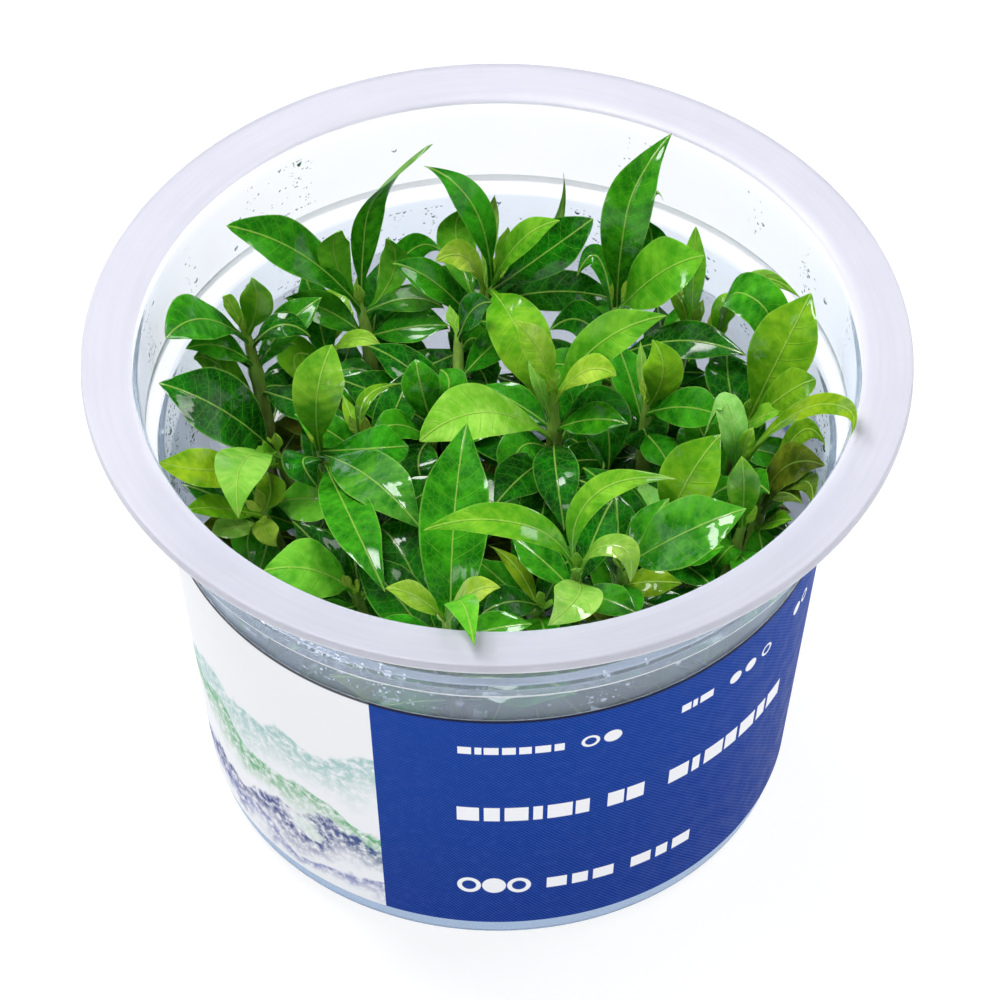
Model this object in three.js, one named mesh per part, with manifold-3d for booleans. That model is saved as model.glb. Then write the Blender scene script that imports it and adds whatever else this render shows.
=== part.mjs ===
// Aquarium stem plant grown in a clear tissue-culture cup, with its wrap label.
// Millimetres, +Z up, the cup stands on z = 0 about the Z axis, the front faces -Y.
import * as THREE from 'three';
import { mergeVertices } from 'three/addons/utils/BufferGeometryUtils.js';
import Module from 'manifold-3d';

// Cup
const RIM_RADIUS = 50;
const RIM_HEIGHT = 65;
const FLANGE_THICKNESS = 1.5;
const FLANGE_INNER_RADIUS = 45.2;
const LIP_ROUND = 0.7;
const NECK_OUTER_RADIUS = 43.9;
const NECK_INNER_RADIUS = 43.2;
const NECK_FOOT_OUTER_RADIUS = 43.3;
const NECK_FOOT_INNER_RADIUS = 42.35;
const LEDGE_UNDER_HEIGHT = 51.7;
const LEDGE_TOP_HEIGHT = 52.9;
const LEDGE_FALL = 0.1;
const BODY_FOOT_RADIUS = 34.4;
const BODY_TAPER = 0.124;
const WALL = 0.8;
const FLOOR = 1.2;
const EDGE_CHAMFER = 0.4;
const NECK_CHAMFER = 0.5;
const MOUTH_CHAMFER_WIDTH = 0.5;
const MOUTH_CHAMFER_TOP = 0.7;
const MOUTH_CHAMFER_FOOT = 1.7;
const FOOT_CHAMFER_WIDTH = 1.5;
const FOOT_CHAMFER_HEIGHT = 1;
const FLOOR_CHAMFER_WIDTH = 1.2;
const FLOOR_CHAMFER_HEIGHT = 1.4;
const CUP_SEGMENTS = 36;
const SEAM = 1e-3;

// Wrap label round the body
const LABEL_BOTTOM = 3.3;
const LABEL_TOP = 44.7;
const LABEL_THICKNESS = 0.4;

// Growing gel in the bottom of the cup
const GEL_TOP = 22;
const GEL_CHAMFER_WIDTH = 1.4;
const GEL_CHAMFER_HEIGHT = 1.6;
// Gap left between pieces that touch
const GAP = 0.3;

// Stems
const STEM_FOOT_RADIUS = 1.25;
const STEM_TOP_RADIUS = 0.85;
const STEM_RISE = 12;
const STEM_SIDES = 5;
const STEM_STEPS = 3;

// Leaf blades
const PETIOLE_HALF_WIDTH = 0.5;
const PETIOLE_SHARE = 0.1;
const BLADE_HALF_THICKNESS = 0.32;
const BLADE_FOLD = 0.16;
// Cross-sections of a blade, counted in frame steps from the stem; the tip comes at the last step
const FRAME_STEPS = 12;
const BLADE_STATIONS = [0, 2, 6, 9];
const SMALL_BLADE_WIDTH = 5.2;
const SMALL_BLADE_STATIONS = [0, 3, 8];
// Blade outline: where it is widest, and how full it is towards the ends
const FORMS = [[0.95, 0.8], [1.25, 0.62], [0.8, 1.1]];

// Line of sight along which the leaves are set out: height angle, distance and aimed height
const SIGHT_PITCH = 46.8 * Math.PI / 180;
const SIGHT_DISTANCE = 2500;
const SIGHT_AIM = 40.5;
const SIGHT_Y = -SIGHT_DISTANCE * Math.cos(SIGHT_PITCH);
const SIGHT_Z = SIGHT_AIM + SIGHT_DISTANCE * Math.sin(SIGHT_PITCH);
// Blades face halfway between straight up and the line of sight
const FACE = new THREE.Vector3(0, -Math.cos(SIGHT_PITCH), Math.sin(SIGHT_PITCH) + 1).normalize();

// Room kept between leaves of different shoots, their stems and the cup
const ROOM_GAP = 1.0;
const ROOM_SIDE = 1.5;
const ROOM_STEM = 2.1;
const ROOM_WALL = 0.9;
const ROOM_GEL = 1;
const ROOM_MARGIN = 2;
const ROOM_FROM_STEP = 2;
const ROOM_ABOVE_RIM = 65.9;
const ROOM_RIM_LIMIT = 50.4;
const ROOM_BEAD_LIMIT = 43;
const ROOM_NECK_FOOT = 53.6;
const ROOM_NECK_RISE = 10;
const ROOM_STEM_STEPS = 16;
const WALL_WEIGHT = 4;
const SHIFT_STEP = 1;
const SHIFT_STEPS = 10;
const ACROSS = [-1, -0.5, 0, 0.5, 1];

// Pairs of older leaves lower on each stem, wherever they find room.
// Each level: place on the stem, length, width, rise of the tip
const LOWER_NODES = [[0.62, 16, 6.6, 4], [0.3, 15, 6.4, 5]];
const LOWER_ARCH = 0.72;
const LOWER_BLADE_STATIONS = [0, 6];
// Directions of the pairs in degrees, and the turns and lifts tried for room
const LOWER_START = 40;
const LOWER_SPIRAL = 137.5;
const LOWER_CROSS = 90;
const LOWER_TURNS = [0, 20, -20, 40, -40];
const LOWER_LIFTS = [0, 3, -3, 6];
// Rows of points at a lower leaf's root that may lie near its own stem
const LOWER_FREE_FROM = 3;
// Open columns between the shoots that the lower leaves keep out of
const CLEARINGS = [[-31.5, 5.5, -25.5, 10.5], [0.5, -14.5, 10.5, -9.5]];
const CLEARING_MARGIN = 0.4;

// Each shoot: name, foot [x, y] on the gel, top [x, y, z], leaves.
// Each leaf: place on the stem 0 to 1, blade width, turn and twist in degrees, outline, then
// the points its midrib passes. A point [x, y, z] lies at height z on the line of sight that
// meets the rim plane at x, y.
const SHOOTS = [
  ["shoot_back_left", [-14, 20], [-16.4, 9.6, 47], [
      [0.96, 6.4, 0, 0, 1, [-23.6, 17.6, 56], [-32.7, 22.4, 62]],
      [0.94, 4.2, 0, 0, 1, [-19.6, 17.0, 54], [-18.7, 21.6, 59]],
      [0.98, 5.0, 5, 125, 0, [-16.2, 18.0, 53], [-15.4, 25.6, 58], [-12.0, 31.4, 61], [-7.8, 36.2, 64]],
      [0.93, 3.8, 0, 0, 1, [-12.4, 15.0, 51], [-13.4, 20.3, 56]],
      [0.88, 3.8, 0, 0, 0, [-11.0, 17.4, 50], [-6.8, 18.2, 53]],
      [0.95, 3.4, 20, 0, 0, [-10.6, 10.3, 48], [-6.4, 8.6, 47]],
      [0.82, 4.6, 0, 0, 0, [-10.5, 6.2, 44], [-5.8, 5.2, 43]],
  ]],
  ["shoot_back_middle", [-9, 19], [-0.2, 13.6, 50], [
      [0.97, 4.2, 0, 0, 2, [-1.8, 22.2, 59], [-4.6, 28.8, 64], [-8.9, 32.5, 66]],
      [0.88, 4.8, 0, 0, 0, [-4.9, 19.6, 50], [-4.0, 25.3, 55]],
      [0.93, 4.0, 10, 0, 1, [-3.6, 16.9, 54], [-7.4, 16.5, 55]],
      [0.80, 3.6, 0, 0, 0, [-5.4, 12.6, 45], [-9.0, 13.4, 46]],
      [0.95, 6.2, 10, 0, 1, [5.8, 17.8, 56], [11.6, 23.6, 61]],
      [0.98, 3.8, 0, 0, 0, [3.0, 20.0, 60], [7.6, 23.3, 64]],
      [0.99, 2.2, 0, 0, 0, [0.9, 18.4, 56], [1.3, 22.2, 60]],
      [0.90, 2.0, 0, 0, 2, [-0.8, 22.0, 53], [-0.3, 27.6, 58]],
      [0.90, 5.2, 12, 0, 0, [7.0, 11.4, 48], [15.0, 9.6, 45]],
      [0.96, 7.2, 0, 0, 0, [2.4, 5.0, 50], [5.6, -7.5, 42]],
      [0.70, 1.8, 0, 0, 2, [5.5, 17.0, 47], [8.0, 31.3, 59]],
  ]],
  ["shoot_back_tall", [12, 18], [14.6, 9.8, 48], [
      [0.97, 6.0, 0, 0, 0, [15.0, 19.0, 58], [16.6, 28.5, 65], [21.2, 38.0, 70]],
      [0.90, 5.2, 0, 0, 0, [18.3, 17.0, 50], [17.8, 23.4, 55]],
      [0.95, 8.2, 0, 0, 0, [19.6, 14.4, 57], [25.0, 17.4, 59]],
      [0.85, 1.4, 0, 0, 2, [17.5, 24.5, 52], [20.1, 26.6, 56]],
      [0.90, 3.0, 0, 0, 0, [12.3, 16.8, 51], [9.6, 14.0, 49]],
  ]],
  ["shoot_back_right", [18, 15], [23.7, 6.2, 49], [
      [0.97, 3.0, 0, 0, 1, [23.6, 13.5, 53], [24.0, 22.3, 58]],
      [0.93, 2.4, 0, 0, 0, [22.4, 9.0, 50], [20.2, 12.6, 50]],
      [0.80, 2.2, 0, 0, 0, [22.8, 5.9, 46], [21.0, 5.8, 45]],
  ]],
  ["shoot_right_arching", [25, 9], [26.4, 4.2, 50], [
      [0.97, 6.0, 0, 0, 0, [28.5, 11.0, 58], [32.6, 7.5, 58], [31.6, -1.5, 48]],
      [0.92, 2.6, 0, 0, 0, [30.5, 12.6, 55], [36.4, 10.4, 57]],
      [0.95, 3.2, 0, 0, 0, [27.4, 8.6, 54], [29.8, 8.4, 53]],
  ]],
  ["shoot_right", [25, 4], [30.2, -9.5, 47], [
      [0.97, 8.0, 0, 0, 0, [34.2, 1.5, 56], [37.8, 11.2, 60]],
      [0.94, 5.2, 0, 0, 1, [34.6, -5.6, 54], [38.2, -3.2, 56]],
      [0.90, 5.6, 0, 0, 1, [27.8, -4.0, 48], [27.6, 1.2, 48]],
      [0.96, 3.4, 0, 0, 0, [31.8, -9.3, 52], [33.9, -8.4, 53]],
  ]],
  ["shoot_right_front", [24, -2], [29.0, -17.6, 46], [
      [0.98, 3.0, 0, 0, 2, [33.2, -11.2, 57], [38.5, -7.4, 64], [42.4, -8.6, 67], [42.0, -13.0, 66.4]],
      [0.94, 4.4, 0, 60, 0, [28.3, -13.0, 52], [27.2, -7.2, 55], [24.8, -12.4, 52]],
      [0.96, 2.0, 0, 0, 0, [29.8, -13.8, 50], [30.6, -11.0, 51]],
  ]],
  ["shoot_right_old", [29, -8], [32.0, -22.0, 44], [
      [0.96, 3.0, 0, 0, 0, [36.0, -12.2, 54], [39.2, -14.0, 56]],
      [0.92, 5.4, 0, 0, 0, [34.5, -17.6, 50], [39.2, -17.4, 54]],
      [0.88, 3.2, 0, 0, 0, [36.4, -20.0, 50], [37.6, -24.2, 54]],
      [0.80, 3.0, 0, 0, 0, [32.8, -26.6, 46], [35.2, -26.2, 49]],
      [0.94, 3.2, 0, 0, 0, [34.0, -21.8, 48], [36.4, -23.6, 50]],
  ]],
  ["shoot_dark", [13, 12], [14.5, 2.0, 46], [
      [0.96, 5.2, 0, 0, 0, [22.0, 3.2, 50], [29.9, 0.8, 50]],
      [0.90, 5.0, 0, 0, 0, [10.6, 6.2, 45], [6.3, 5.0, 43]],
  ]],
  ["shoot_centre", [7, 3], [6.8, -5.2, 52], [
      [0.97, 5.6, 0, 0, 0, [12.6, 3.0, 59], [20.4, 7.4, 63]],
      [0.96, 3.8, 0, 0, 1, [10.6, -1.8, 57], [14.3, -2.6, 58]],
      [0.99, 4.0, 0, 0, 0, [4.9, 1.8, 60], [2.0, 6.6, 64]],
      [0.80, 7.4, 0, 0, 1, [-1.5, -8.6, 57], [-9.3, -13.4, 55]],
      [0.86, 1.7, 0, 0, 2, [5.0, -4.0, 53], [3.6, 1.2, 55]],
      [0.84, 7.2, 0, 0, 0, [12.2, -9.0, 50], [13.2, -18.4, 43]],
      [0.78, 5.6, 0, 0, 0, [7.0, -18.0, 48], [8.0, -28.0, 44]],
      [0.74, 5.0, 0, 0, 0, [2.8, -14.5, 46], [1.6, -22.5, 42]],
  ]],
  ["shoot_centre_right", [17, 5], [18.0, -6.6, 47], [
      [0.96, 5.0, 0, 0, 0, [19.9, -2.0, 50], [18.6, 3.4, 51]],
      [0.92, 1.4, 0, 0, 2, [17.4, -1.5, 49], [17.2, 3.2, 50]],
      [0.93, 5.6, 0, 0, 1, [22.4, -7.8, 51], [27.2, -9.6, 50]],
      [0.80, 6.0, 0, 0, 0, [17.6, -11.6, 44], [18.6, -16.5, 41]],
  ]],
  ["shoot_centre_left", [-4.5, 5], [-4.7, 5.4, 48], [
      [0.96, 4.0, 0, 0, 0, [-3.0, 8.2, 50], [-0.6, 9.6, 50]],
      [0.92, 3.6, 0, 0, 0, [-2.8, 3.6, 47], [-1.0, 0.4, 45]],
      [0.80, 5.2, 0, 0, 0, [-2.4, -1.4, 44], [-0.8, -6.4, 42]],
  ]],
  ["shoot_middle", [-9, 9], [-7.6, -10.2, 45], [
      [0.96, 4.8, 0, 0, 1, [-9.0, -5.2, 50], [-9.8, 0.2, 53]],
      [0.95, 4.6, 0, 0, 0, [-5.8, -4.6, 49], [-6.9, -1.6, 49]],
      [0.85, 4.6, 0, 0, 0, [-9.4, -16.4, 45], [-8.6, -21.5, 42]],
  ]],
  ["shoot_left", [-18, 0], [-21.3, -14.2, 47], [
      [0.97, 6.2, 0, 0, 1, [-21.6, -6.0, 56], [-19.8, 2.6, 59]],
      [0.92, 5.2, 0, 0, 0, [-23.2, -16.6, 49], [-21.4, -21.0, 46]],
      [0.95, 7.2, 0, 0, 0, [-15.0, -19.6, 54], [-9.0, -27.8, 53]],
      [0.90, 6.0, 0, 0, 0, [-17.8, -25.0, 54], [-13.3, -38.0, 52]],
      [0.97, 5.8, 0, 0, 1, [-15.0, -14.6, 52], [-10.6, -14.2, 51]],
  ]],
  ["shoot_left_edge", [-23, 3], [-26.6, -14.8, 46], [
      [0.97, 9.0, 0, 0, 0, [-33.0, -8.2, 56], [-40.6, -3.8, 60]],
      [0.94, 6.4, 0, 0, 0, [-30.4, -16.8, 55], [-30.8, -26.0, 52]],
      [0.90, 5.8, 0, 0, 1, [-33.6, -18.2, 54], [-40.4, -16.8, 57]],
      [0.98, 3.4, 0, 0, 0, [-27.8, -15.4, 51], [-29.4, -14.2, 53]],
  ]],
  ["shoot_left_front", [-24, -6], [-28.2, -24.8, 44], [
      [0.95, 3.6, 0, 0, 0, [-33.0, -24.4, 51], [-37.3, -24.8, 55]],
      [0.88, 3.2, 0, 0, 0, [-31.6, -27.6, 47], [-34.0, -28.6, 48]],
      [0.92, 4.2, 0, 0, 0, [-29.6, -29.0, 44], [-29.0, -34.0, 42]],
      [0.96, 3.2, 0, 0, 0, [-27.6, -28.0, 46], [-26.2, -30.6, 45]],
      [0.97, 3.6, 0, 0, 0, [-27.0, -21.6, 47], [-27.6, -18.4, 49]],
  ]],
  ["shoot_left_back", [-27, 15], [-30.2, 5.0, 51], [
      [0.95, 6.6, 0, 0, 1, [-35.4, 6.8, 56], [-39.8, 3.6, 57]],
      [0.55, 4.8, 0, 0, 0, [-33.2, -1.2, 47], [-36.4, 0.2, 51]],
      [0.82, 2.8, 0, 0, 0, [-33.8, 2.2, 51], [-37.2, 2.2, 54]],
      [0.98, 4.2, 0, 0, 0, [-28.9, 9.5, 57], [-29.6, 13.8, 61]],
      [0.96, 2.0, 0, 0, 0, [-32.0, 9.0, 56], [-33.0, 10.4, 58]],
      [0.92, 3.4, 0, 0, 0, [-26.0, 5.8, 52], [-22.4, 3.8, 50]],
      [0.80, 2.6, 0, 0, 0, [-27.0, 2.2, 48], [-24.2, 2.6, 47]],
  ]],
  ["shoot_left_inner", [-14, 4], [-16.2, -12.3, 46], [
      [0.96, 1.8, 0, 0, 2, [-16.3, -8.2, 49], [-14.6, -5.0, 50], [-10.6, -3.8, 49]],
      [0.92, 1.8, 0, 0, 2, [-17.4, -9.4, 46], [-18.6, -5.4, 46]],
      [0.60, 5.0, 0, 0, 0, [-13.5, -9.0, 40], [-12.5, -5.0, 40]],
  ]],
  ["shoot_left_behind", [-19, 14], [-20.4, 2.2, 42], [
      [0.95, 5.6, 0, 0, 1, [-20.2, 6.8, 46], [-18.2, 11.6, 50]],
      [0.96, 2.4, 0, 0, 2, [-16.8, 3.6, 46], [-13.4, 1.6, 45]],
      [0.90, 4.8, 0, 0, 0, [-24.0, 1.0, 42], [-23.6, -4.0, 40]],
      [0.85, 2.8, 0, 0, 0, [-17.4, -1.5, 42], [-14.2, -2.6, 41]],
      [0.70, 4.4, 0, 0, 0, [-25.4, -4.4, 38], [-28.4, -5.2, 38]],
  ]],
  ["shoot_left_low", [-15, -7], [-17.2, -23.6, 45], [
      [0.96, 6.8, 0, 0, 0, [-21.8, -22.8, 48], [-26.4, -23.6, 49]],
      [0.85, 4.6, 0, 0, 0, [-17.2, -29.0, 44], [-16.6, -36.0, 42]],
  ]],
  ["shoot_front_left", [-15, -17], [-17.0, -37.6, 46], [
      [0.96, 7.4, 0, 0, 0, [-22.0, -34.4, 51], [-27.8, -34.6, 51]],
      [0.90, 3.6, 0, 0, 0, [-14.0, -37.4, 47], [-12.0, -40.2, 46]],
  ]],
  ["shoot_front", [-5, -27], [-6.1, -42.2, 58], [
      [0.98, 3.4, 0, 0, 0, [-9.6, -38.8, 63], [-13.3, -37.4, 65]],
      [0.97, 3.4, 0, 0, 0, [-3.1, -38.2, 63], [0.4, -37.3, 65]],
      [0.99, 3.8, 0, 0, 0, [-4.3, -39.6, 66.0], [-2.7, -46.7, 67.4]],
      [0.70, 8.4, 0, 0, 0, [-5.2, -27.5, 56], [-3.6, -10.4, 61]],
      [0.60, 7.6, 0, 0, 0, [-10.4, -34.0, 49], [-14.4, -27.6, 49]],
  ]],
  ["shoot_front_right", [9, -18], [9.4, -34.2, 57], [
      [0.97, 4.4, 0, 0, 0, [5.6, -28.4, 63], [-1.6, -26.2, 65], [-8.8, -28.0, 64]],
      [0.98, 3.6, 0, 0, 0, [9.6, -26.0, 63], [13.8, -20.4, 67], [21.4, -19.6, 66]],
      [0.95, 3.2, 0, 0, 1, [12.0, -30.9, 62], [15.3, -31.2, 63], [15.8, -36.4, 60]],
      [0.92, 6.0, 0, 0, 0, [9.6, -38.6, 58], [6.0, -43.4, 55]],
  ]],
  ["shoot_front_low", [3, -18], [5.4, -40.0, 49], [
      [0.96, 4.6, 0, 0, 0, [1.6, -39.6, 53], [-1.8, -41.6, 52]],
      [0.90, 2.2, 0, 0, 2, [2.6, -34.6, 49], [-1.0, -30.4, 49]],
  ]],
  ["shoot_glossy", [15, -14], [14.8, -33.4, 51], [
      [0.96, 8.6, 0, 0, 0, [22.0, -28.6, 59], [29.7, -24.4, 62]],
      [0.80, 4.0, 0, 0, 0, [18.0, -36.4, 47], [22.0, -36.6, 47]],
      [0.70, 3.4, 0, 0, 0, [13.0, -27.5, 42], [14.2, -23.0, 42]],
  ]],
  ["shoot_right_low", [19, -7], [20.4, -27.6, 46], [
      [0.97, 7.2, 0, 0, 0, [22.8, -19.6, 53], [26.8, -12.2, 56]],
      [0.85, 3.6, 0, 0, 0, [18.6, -24.5, 44], [17.0, -19.5, 43]],
      [0.80, 4.6, 0, 0, 0, [24.0, -31.4, 46], [27.0, -30.6, 48]],
  ]],
  ["shoot_right_edge", [26, -13], [29.4, -26.4, 47], [
      [0.96, 4.0, 0, 0, 0, [29.4, -21.0, 53], [29.2, -15.8, 56]],
      [0.85, 3.4, 0, 0, 0, [27.5, -31.0, 47], [25.4, -34.6, 46]],
  ]],
];

const FINISHES = {
  cup: { color: 0xe4eaf4, roughness: 0.35 },
  label: { color: 0x3455a4, roughness: 0.5 },
  gel: { color: 0x6e6a4a, roughness: 0.3 },
  shoot: { color: 0x4c8a26, roughness: 0.4 },
};

// Point at height z on the line of sight that meets the rim plane at x, y
function seen([x, y, z]) {
  const t = (SIGHT_Z - z) / (SIGHT_Z - RIM_HEIGHT);
  return new THREE.Vector3(x * t, SIGHT_Y + (y - SIGHT_Y) * t, z);
}

// Point on a stem, s running from its foot on the gel to its top
function stemPoint(shoot, s) {
  const [, [footX, footY], top] = shoot;
  const foot = new THREE.Vector3(footX, footY, GEL_TOP + GAP);
  const knee = new THREE.Vector3(footX, footY, GEL_TOP + GAP + STEM_RISE);
  const point = foot.multiplyScalar((1 - s) ** 2);
  return point.addScaledVector(knee, 2 * s * (1 - s)).addScaledVector(seen(top), s * s);
}

// Points a leaf's midrib passes; a shift lifts the tip and slides it along the line of sight
function midrib(shoot, leaf, shift) {
  const via = leaf.slice(5);
  const lifted = via.map(([x, y, z], i) => seen([x, y, z + shift * (i + 1) / via.length]));
  return [stemPoint(shoot, leaf[0]), ...lifted];
}

// Smooth curve through the points: place and direction at t from 0 to 1
function course(points, t) {
  const n = points.length - 1;
  const i = Math.min(Math.floor(t * n), n - 1);
  const f = t * n - i;
  const between = (a, b, share) => points[b].clone().sub(points[a]).multiplyScalar(share);
  const slope = (k) => {
    if (k === 0) return between(0, 1, 2).sub(between(0, 2, 0.5));
    if (k === n) return between(n - 1, n, 2).sub(between(n - 2, n, 0.5));
    return between(k - 1, k + 1, 0.5);
  };
  const blend = (p, a, q, b) => points[i].clone().multiplyScalar(p).addScaledVector(slope(i), a)
    .addScaledVector(points[i + 1], q).addScaledVector(slope(i + 1), b);
  const ff = f * f;
  const fff = ff * f;
  return {
    place: blend(2 * fff - 3 * ff + 1, fff - 2 * ff + f, 3 * ff - 2 * fff, fff - ff),
    way: blend(6 * ff - 6 * f, 3 * ff - 4 * f + 1, 6 * f - 6 * ff, 3 * ff - 2 * f).normalize(),
  };
}

// Place, direction, upper-face direction and side direction at even steps along a leaf
function frames(points, turn, twist) {
  const rows = [];
  for (let i = 0; i <= FRAME_STEPS; i++) rows.push(course(points, i / FRAME_STEPS));
  const middle = FRAME_STEPS / 2;
  const square = (v, way) => v.clone().addScaledVector(way, -v.dot(way)).normalize();
  rows[middle].face = square(FACE, rows[middle].way);
  for (let i = middle + 1; i <= FRAME_STEPS; i++) rows[i].face = square(rows[i - 1].face, rows[i].way);
  for (let i = middle - 1; i >= 0; i--) rows[i].face = square(rows[i + 1].face, rows[i].way);
  return rows.map(({ place, way, face }, i) => {
    const angle = THREE.MathUtils.degToRad(turn + twist * i / FRAME_STEPS);
    const across = way.clone().cross(face);
    const up = face.clone().multiplyScalar(Math.cos(angle)).addScaledVector(across, Math.sin(angle));
    return { place, way, up, side: way.clone().cross(up) };
  });
}

// Half width of a leaf at t: a narrow petiole, then the blade
function halfWidth(leaf, t) {
  const [skew, fullness] = FORMS[leaf[4]];
  const u = (t - PETIOLE_SHARE) / (1 - PETIOLE_SHARE);
  const blade = u <= 0 || u >= 1 ? 0 : Math.sin(Math.PI * u ** skew) ** fullness;
  return Math.max(PETIOLE_HALF_WIDTH * (1 - t), leaf[1] / 2 * blade);
}

// Points spread over a blade with its facing at each, for finding room
function patch(points, leaf) {
  const rows = frames(points, leaf[2], leaf[3]);
  const spots = [];
  for (let i = ROOM_FROM_STEP; i <= FRAME_STEPS; i++) {
    const { place, up, side } = rows[i];
    const half = halfWidth(leaf, i / FRAME_STEPS);
    for (const a of ACROSS) spots.push({ at: place.clone().addScaledVector(side, half * a), up });
  }
  const box = new THREE.Box3().setFromPoints(spots.map((spot) => spot.at)).expandByScalar(ROOM_MARGIN);
  return { spots, box };
}

// Free radius inside the cup at height z
function freeRadius(z) {
  if (z > ROOM_ABOVE_RIM) return ROOM_RIM_LIMIT;
  if (z > RIM_HEIGHT) return ROOM_BEAD_LIMIT;
  if (z > ROOM_NECK_FOOT) {
    const taper = (NECK_INNER_RADIUS - NECK_FOOT_INNER_RADIUS) / ROOM_NECK_RISE;
    return NECK_FOOT_INNER_RADIUS + taper * (z - LEDGE_TOP_HEIGHT - NECK_CHAMFER);
  }
  return BODY_FOOT_RADIUS + BODY_TAPER * z - WALL;
}

function wallHits({ spots }) {
  const outside = ({ at }) => Math.hypot(at.x, at.y) > freeRadius(at.z) - ROOM_WALL;
  return spots.filter((spot) => outside(spot) || spot.at.z < GEL_TOP + ROOM_GEL).length;
}

function stemHits({ spots }, stem) {
  let hits = 0;
  for (const { at } of spots) {
    for (const point of stem) if (at.distanceToSquared(point) < ROOM_STEM ** 2) hits++;
  }
  return hits;
}

// How many points of one blade lie in the thin room round another
function bladeHits(one, other) {
  let hits = 0;
  for (const { at } of one.spots) {
    if (!other.box.containsPoint(at)) continue;
    for (const spot of other.spots) {
      const away = at.clone().sub(spot.at);
      const height = away.dot(spot.up);
      if (Math.abs(height) >= ROOM_GAP) continue;
      if (away.lengthSq() - height * height < ROOM_SIDE ** 2) hits++;
    }
  }
  return hits;
}

const stemSpots = (shoot) => {
  const spots = [];
  for (let k = 0; k <= ROOM_STEM_STEPS; k++) spots.push(stemPoint(shoot, k / ROOM_STEM_STEPS));
  return spots;
};
const STEMS = SHOOTS.map(stemSpots);

// Lift or lower each leaf's tip by the least that keeps it clear of the other shoots
function settle() {
  const shifts = [0];
  for (let k = 1; k <= SHIFT_STEPS; k++) shifts.push(k * SHIFT_STEP, -k * SHIFT_STEP);
  const placed = [];
  const leaves = SHOOTS.map((shoot, own) => {
    const mine = [];
    const row = shoot[3].map((leaf) => {
      let best = null;
      for (const shift of shifts) {
        const points = midrib(shoot, leaf, shift);
        const blade = patch(points, leaf);
        let hits = WALL_WEIGHT * wallHits(blade);
        STEMS.forEach((stem, i) => { if (i !== own) hits += stemHits(blade, stem); });
        for (const other of placed) hits += bladeHits(blade, other) + bladeHits(other, blade);
        if (!best || hits < best.hits) best = { hits, points, blade };
        if (hits === 0) break;
      }
      mine.push({ own, ...best.blade });
      return { leaf, points: best.points };
    });
    placed.push(...mine);
    return row;
  });
  return { leaves, placed };
}

// A leaf low on a stem as a row like those above, with its midrib's points
function lowerLeaf(shoot, level, azimuth, lift) {
  const [s, length, width, rise] = LOWER_NODES[level];
  const root = stemPoint(shoot, s);
  const angle = THREE.MathUtils.degToRad(azimuth);
  const way = new THREE.Vector3(Math.sin(angle), -Math.cos(angle), 0);
  const at = (share, height) => {
    const point = root.clone().addScaledVector(way, length * share);
    point.z += (rise + lift) * height;
    return point;
  };
  return { leaf: [s, width, 0, 0, 0], points: [root, at(0.5, LOWER_ARCH), at(1, 1)] };
}

function clearingHits({ spots }) {
  const within = (v, from, to) => v > from - CLEARING_MARGIN && v < to + CLEARING_MARGIN;
  const inside = ({ x, y }) => CLEARINGS.some(([x0, y0, x1, y1]) => within(x, x0, x1) && within(y, y0, y1));
  return spots.filter(({ at }) => inside(at)).length;
}

// The first direction and height in which a lower leaf is clear of everything, or null
function roomForLower(shoot, own, level, azimuth, placed) {
  for (const turn of LOWER_TURNS) {
    for (const lift of LOWER_LIFTS) {
      const { leaf, points } = lowerLeaf(shoot, level, azimuth + turn, lift);
      const blade = patch(points, leaf);
      const outer = { spots: blade.spots.slice(LOWER_FREE_FROM * ACROSS.length), box: blade.box };
      const part = (i) => (i === own ? outer : blade);
      if (wallHits(blade) || clearingHits(blade)) continue;
      if (STEMS.some((stem, i) => stemHits(part(i), stem))) continue;
      const near = placed.filter((other) => other.box.intersectsBox(blade.box));
      const meets = (other, mine) => bladeHits(mine, other) || bladeHits(other, mine);
      if (near.some((other) => meets(other, part(other.own)))) continue;
      placed.push({ own, ...blade });
      return { leaf, points };
    }
  }
  return null;
}

// Every leaf of every shoot: those of the table, then pairs lower down wherever they find room
function allLeaves() {
  const { leaves, placed } = settle();
  const lower = SHOOTS.map(() => []);
  LOWER_NODES.forEach((_, level) => {
    SHOOTS.forEach((shoot, own) => {
      for (const side of [0, 180]) {
        const azimuth = LOWER_START + LOWER_SPIRAL * own + LOWER_CROSS * level + side;
        const found = roomForLower(shoot, own, level, azimuth, placed);
        if (found) lower[own].push(found);
      }
    });
  });
  return { leaves, lower };
}

const wasm = await Module();
wasm.setup();

// Closed skin over rings of points; the last ring may be drawn to one tip point
function skin(rings, tip) {
  const sides = rings[0].length;
  const points = rings.flat();
  const index = [];
  for (let r = 0; r + 1 < rings.length; r++) {
    for (let i = 0; i < sides; i++) {
      const [a, b] = [r * sides + i, r * sides + (i + 1) % sides];
      index.push(a, b, b + sides, a, b + sides, a + sides);
    }
  }
  const last = (rings.length - 1) * sides;
  for (let i = 1; i + 1 < sides; i++) index.push(0, i + 1, i);
  if (tip) {
    points.push(tip);
    for (let i = 0; i < sides; i++) index.push(last + i, last + (i + 1) % sides, points.length - 1);
  } else {
    for (let i = 1; i + 1 < sides; i++) index.push(last, last + i, last + i + 1);
  }
  return solid(new Float32Array(points.flatMap((p) => [p.x, p.y, p.z])), new Uint32Array(index));
}

// Solid from points and triangles, turned right side out
function solid(vertProperties, triVerts) {
  const corner = (k) => new THREE.Vector3().fromArray(vertProperties, triVerts[k] * 3);
  let volume = 0;
  for (let k = 0; k < triVerts.length; k += 3) {
    volume += corner(k).dot(corner(k + 1).cross(corner(k + 2)));
  }
  if (volume < 0) triVerts.reverse();
  return new wasm.Manifold(new wasm.Mesh({ numProp: 3, vertProperties, triVerts }));
}

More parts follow.
